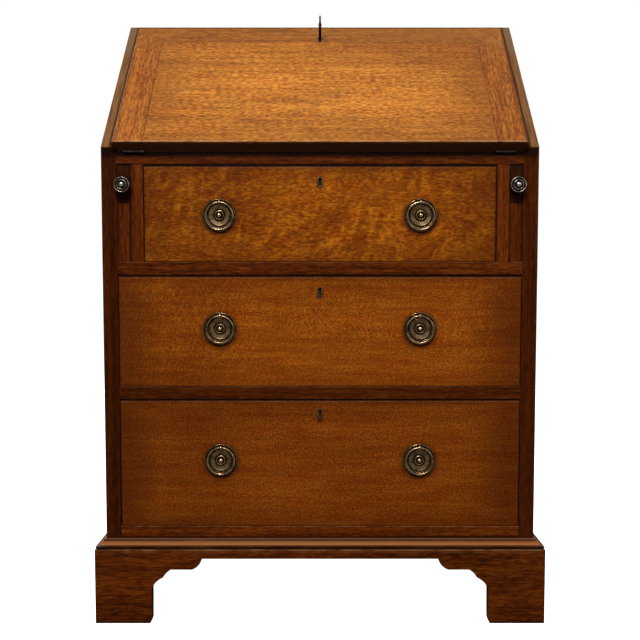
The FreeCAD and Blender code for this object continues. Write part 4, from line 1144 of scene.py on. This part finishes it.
# Name, place, what it faces, size and watts of each light
LIGHTS = (
    ("key_light", (-0.35, -2.3, 2.9), (0.0, -0.2, 0.55), (1.1, 0.7), 125.0),
    ("fill_light", (1.9, -2.6, 1.9), (0.0, 0.0, 0.5), (1.0, 1.4), 12.0),
    ("side_light", (3.0, 0.1, 1.3), (0.3, 0.0, 0.5), (1.4, 1.4), 34.0),
    ("rear_light", (-1.9, 2.6, 1.9), (0.0, 0.1, 0.5), (1.6, 1.4), 45.0),
    ("top_light", (0.0, -0.2, 3.0), (0.0, -0.1, 0.9), (2.6, 1.8), 40.0),
)
# Light from the world, and how what glossy surfaces see of it rises from below to above
WORLD_LEVEL = 0.14
SKY_SPAN = (-0.2, 0.9)
SKY_LEVELS = (0.05, 0.55)
# Focal length in millimetres, place in metres and tilt in degrees
CAMERA_LENS = 48.49
CAMERA_PLACE = (0.0, FRONT_Y - 1.390, 0.580)
CAMERA_TILT = 86.5


def floor_and_paper():
    """Pale floor running out to a white distance."""
    bm = bmesh.new()
    bm.faces.new([bm.verts.new((x, y, 0.0)) for x, y in FLOOR])
    floor = finish_mesh("studio_floor", bm)
    g = Graph("studio_white")
    path = g.tree.nodes.new("ShaderNodeLightPath")
    seen = path.outputs["Is Camera Ray"]
    cloud = g.noise(g.combine(*g.position()), scale=1.5)
    paper = g.mix(cloud, *PAPER)
    bounce = g.mix(path.outputs["Is Glossy Ray"], *BOUNCE)
    g.put(g.bsdf.inputs["Base Color"], g.mix(seen, bounce, paper))
    g.bsdf.inputs["Roughness"].default_value = 0.9
    g.bsdf.inputs["Specular IOR Level"].default_value = 0.0
    g.bsdf.inputs["Emission Color"].default_value = WHITE
    g.put(g.bsdf.inputs["Emission Strength"], g.mul(seen, PAPER_GLOW))
    paint([floor], g.mat)


def softbox(name, place, aim, size, power):
    """Area light at a place, turned toward what it lights."""
    data = bpy.data.lights.new(name, "AREA")
    data.shape = "RECTANGLE"
    data.size = size[0]
    data.size_y = size[1]
    data.energy = power
    obj = bpy.data.objects.new(name, data)
    bpy.context.scene.collection.objects.link(obj)
    obj.location = place
    obj.rotation_euler = (Vector(aim) - Vector(place)).to_track_quat("-Z", "Y").to_euler()
    return obj


def surroundings():
    """World that the camera sees white and that glossy surfaces see brighter above."""
    world = bpy.data.worlds.new("studio_world")
    world.use_nodes = True
    tree = world.node_tree
    back = tree.nodes["Background"]
    path = tree.nodes.new("ShaderNodeLightPath")
    level = tree.nodes.new("ShaderNodeMix")
    level.inputs[2].default_value = WORLD_LEVEL
    aim = tree.nodes.new("ShaderNodeTexCoord")
    parts = tree.nodes.new("ShaderNodeSeparateXYZ")
    tree.links.new(aim.outputs["Generated"], parts.inputs[0])
    sky = tree.nodes.new("ShaderNodeMapRange")
    sky.inputs["From Min"].default_value, sky.inputs["From Max"].default_value = SKY_SPAN
    sky.inputs["To Min"].default_value, sky.inputs["To Max"].default_value = SKY_LEVELS
    tree.links.new(parts.outputs[2], sky.inputs["Value"])
    tree.links.new(sky.outputs[0], level.inputs[3])
    tree.links.new(path.outputs["Is Glossy Ray"], level.inputs[0])
    shown = tree.nodes.new("ShaderNodeMix")
    shown.inputs[3].default_value = 1.0
    tree.links.new(path.outputs["Is Camera Ray"], shown.inputs[0])
    tree.links.new(level.outputs[0], shown.inputs[2])
    tree.links.new(shown.outputs[0], back.inputs[1])
    back.inputs[0].default_value = WHITE
    bpy.context.scene.world = world


def stage():
    """Floor, soft lights, world and the camera."""
    floor_and_paper()
    lights = [softbox(*light) for light in LIGHTS]
    lights[-1].visible_glossy = False
    surroundings()
    bpy.context.scene.view_settings.view_transform = "Standard"
    data = bpy.data.cameras.new("view_camera")
    data.sensor_width = 36.0
    data.lens = CAMERA_LENS
    data.clip_end = 50.0
    camera = bpy.data.objects.new("view_camera", data)
    bpy.context.scene.collection.objects.link(camera)
    camera.location = CAMERA_PLACE
    camera.rotation_euler = (math.radians(CAMERA_TILT), 0.0, 0.0)
    bpy.context.scene.camera = camera


dress()
stage()
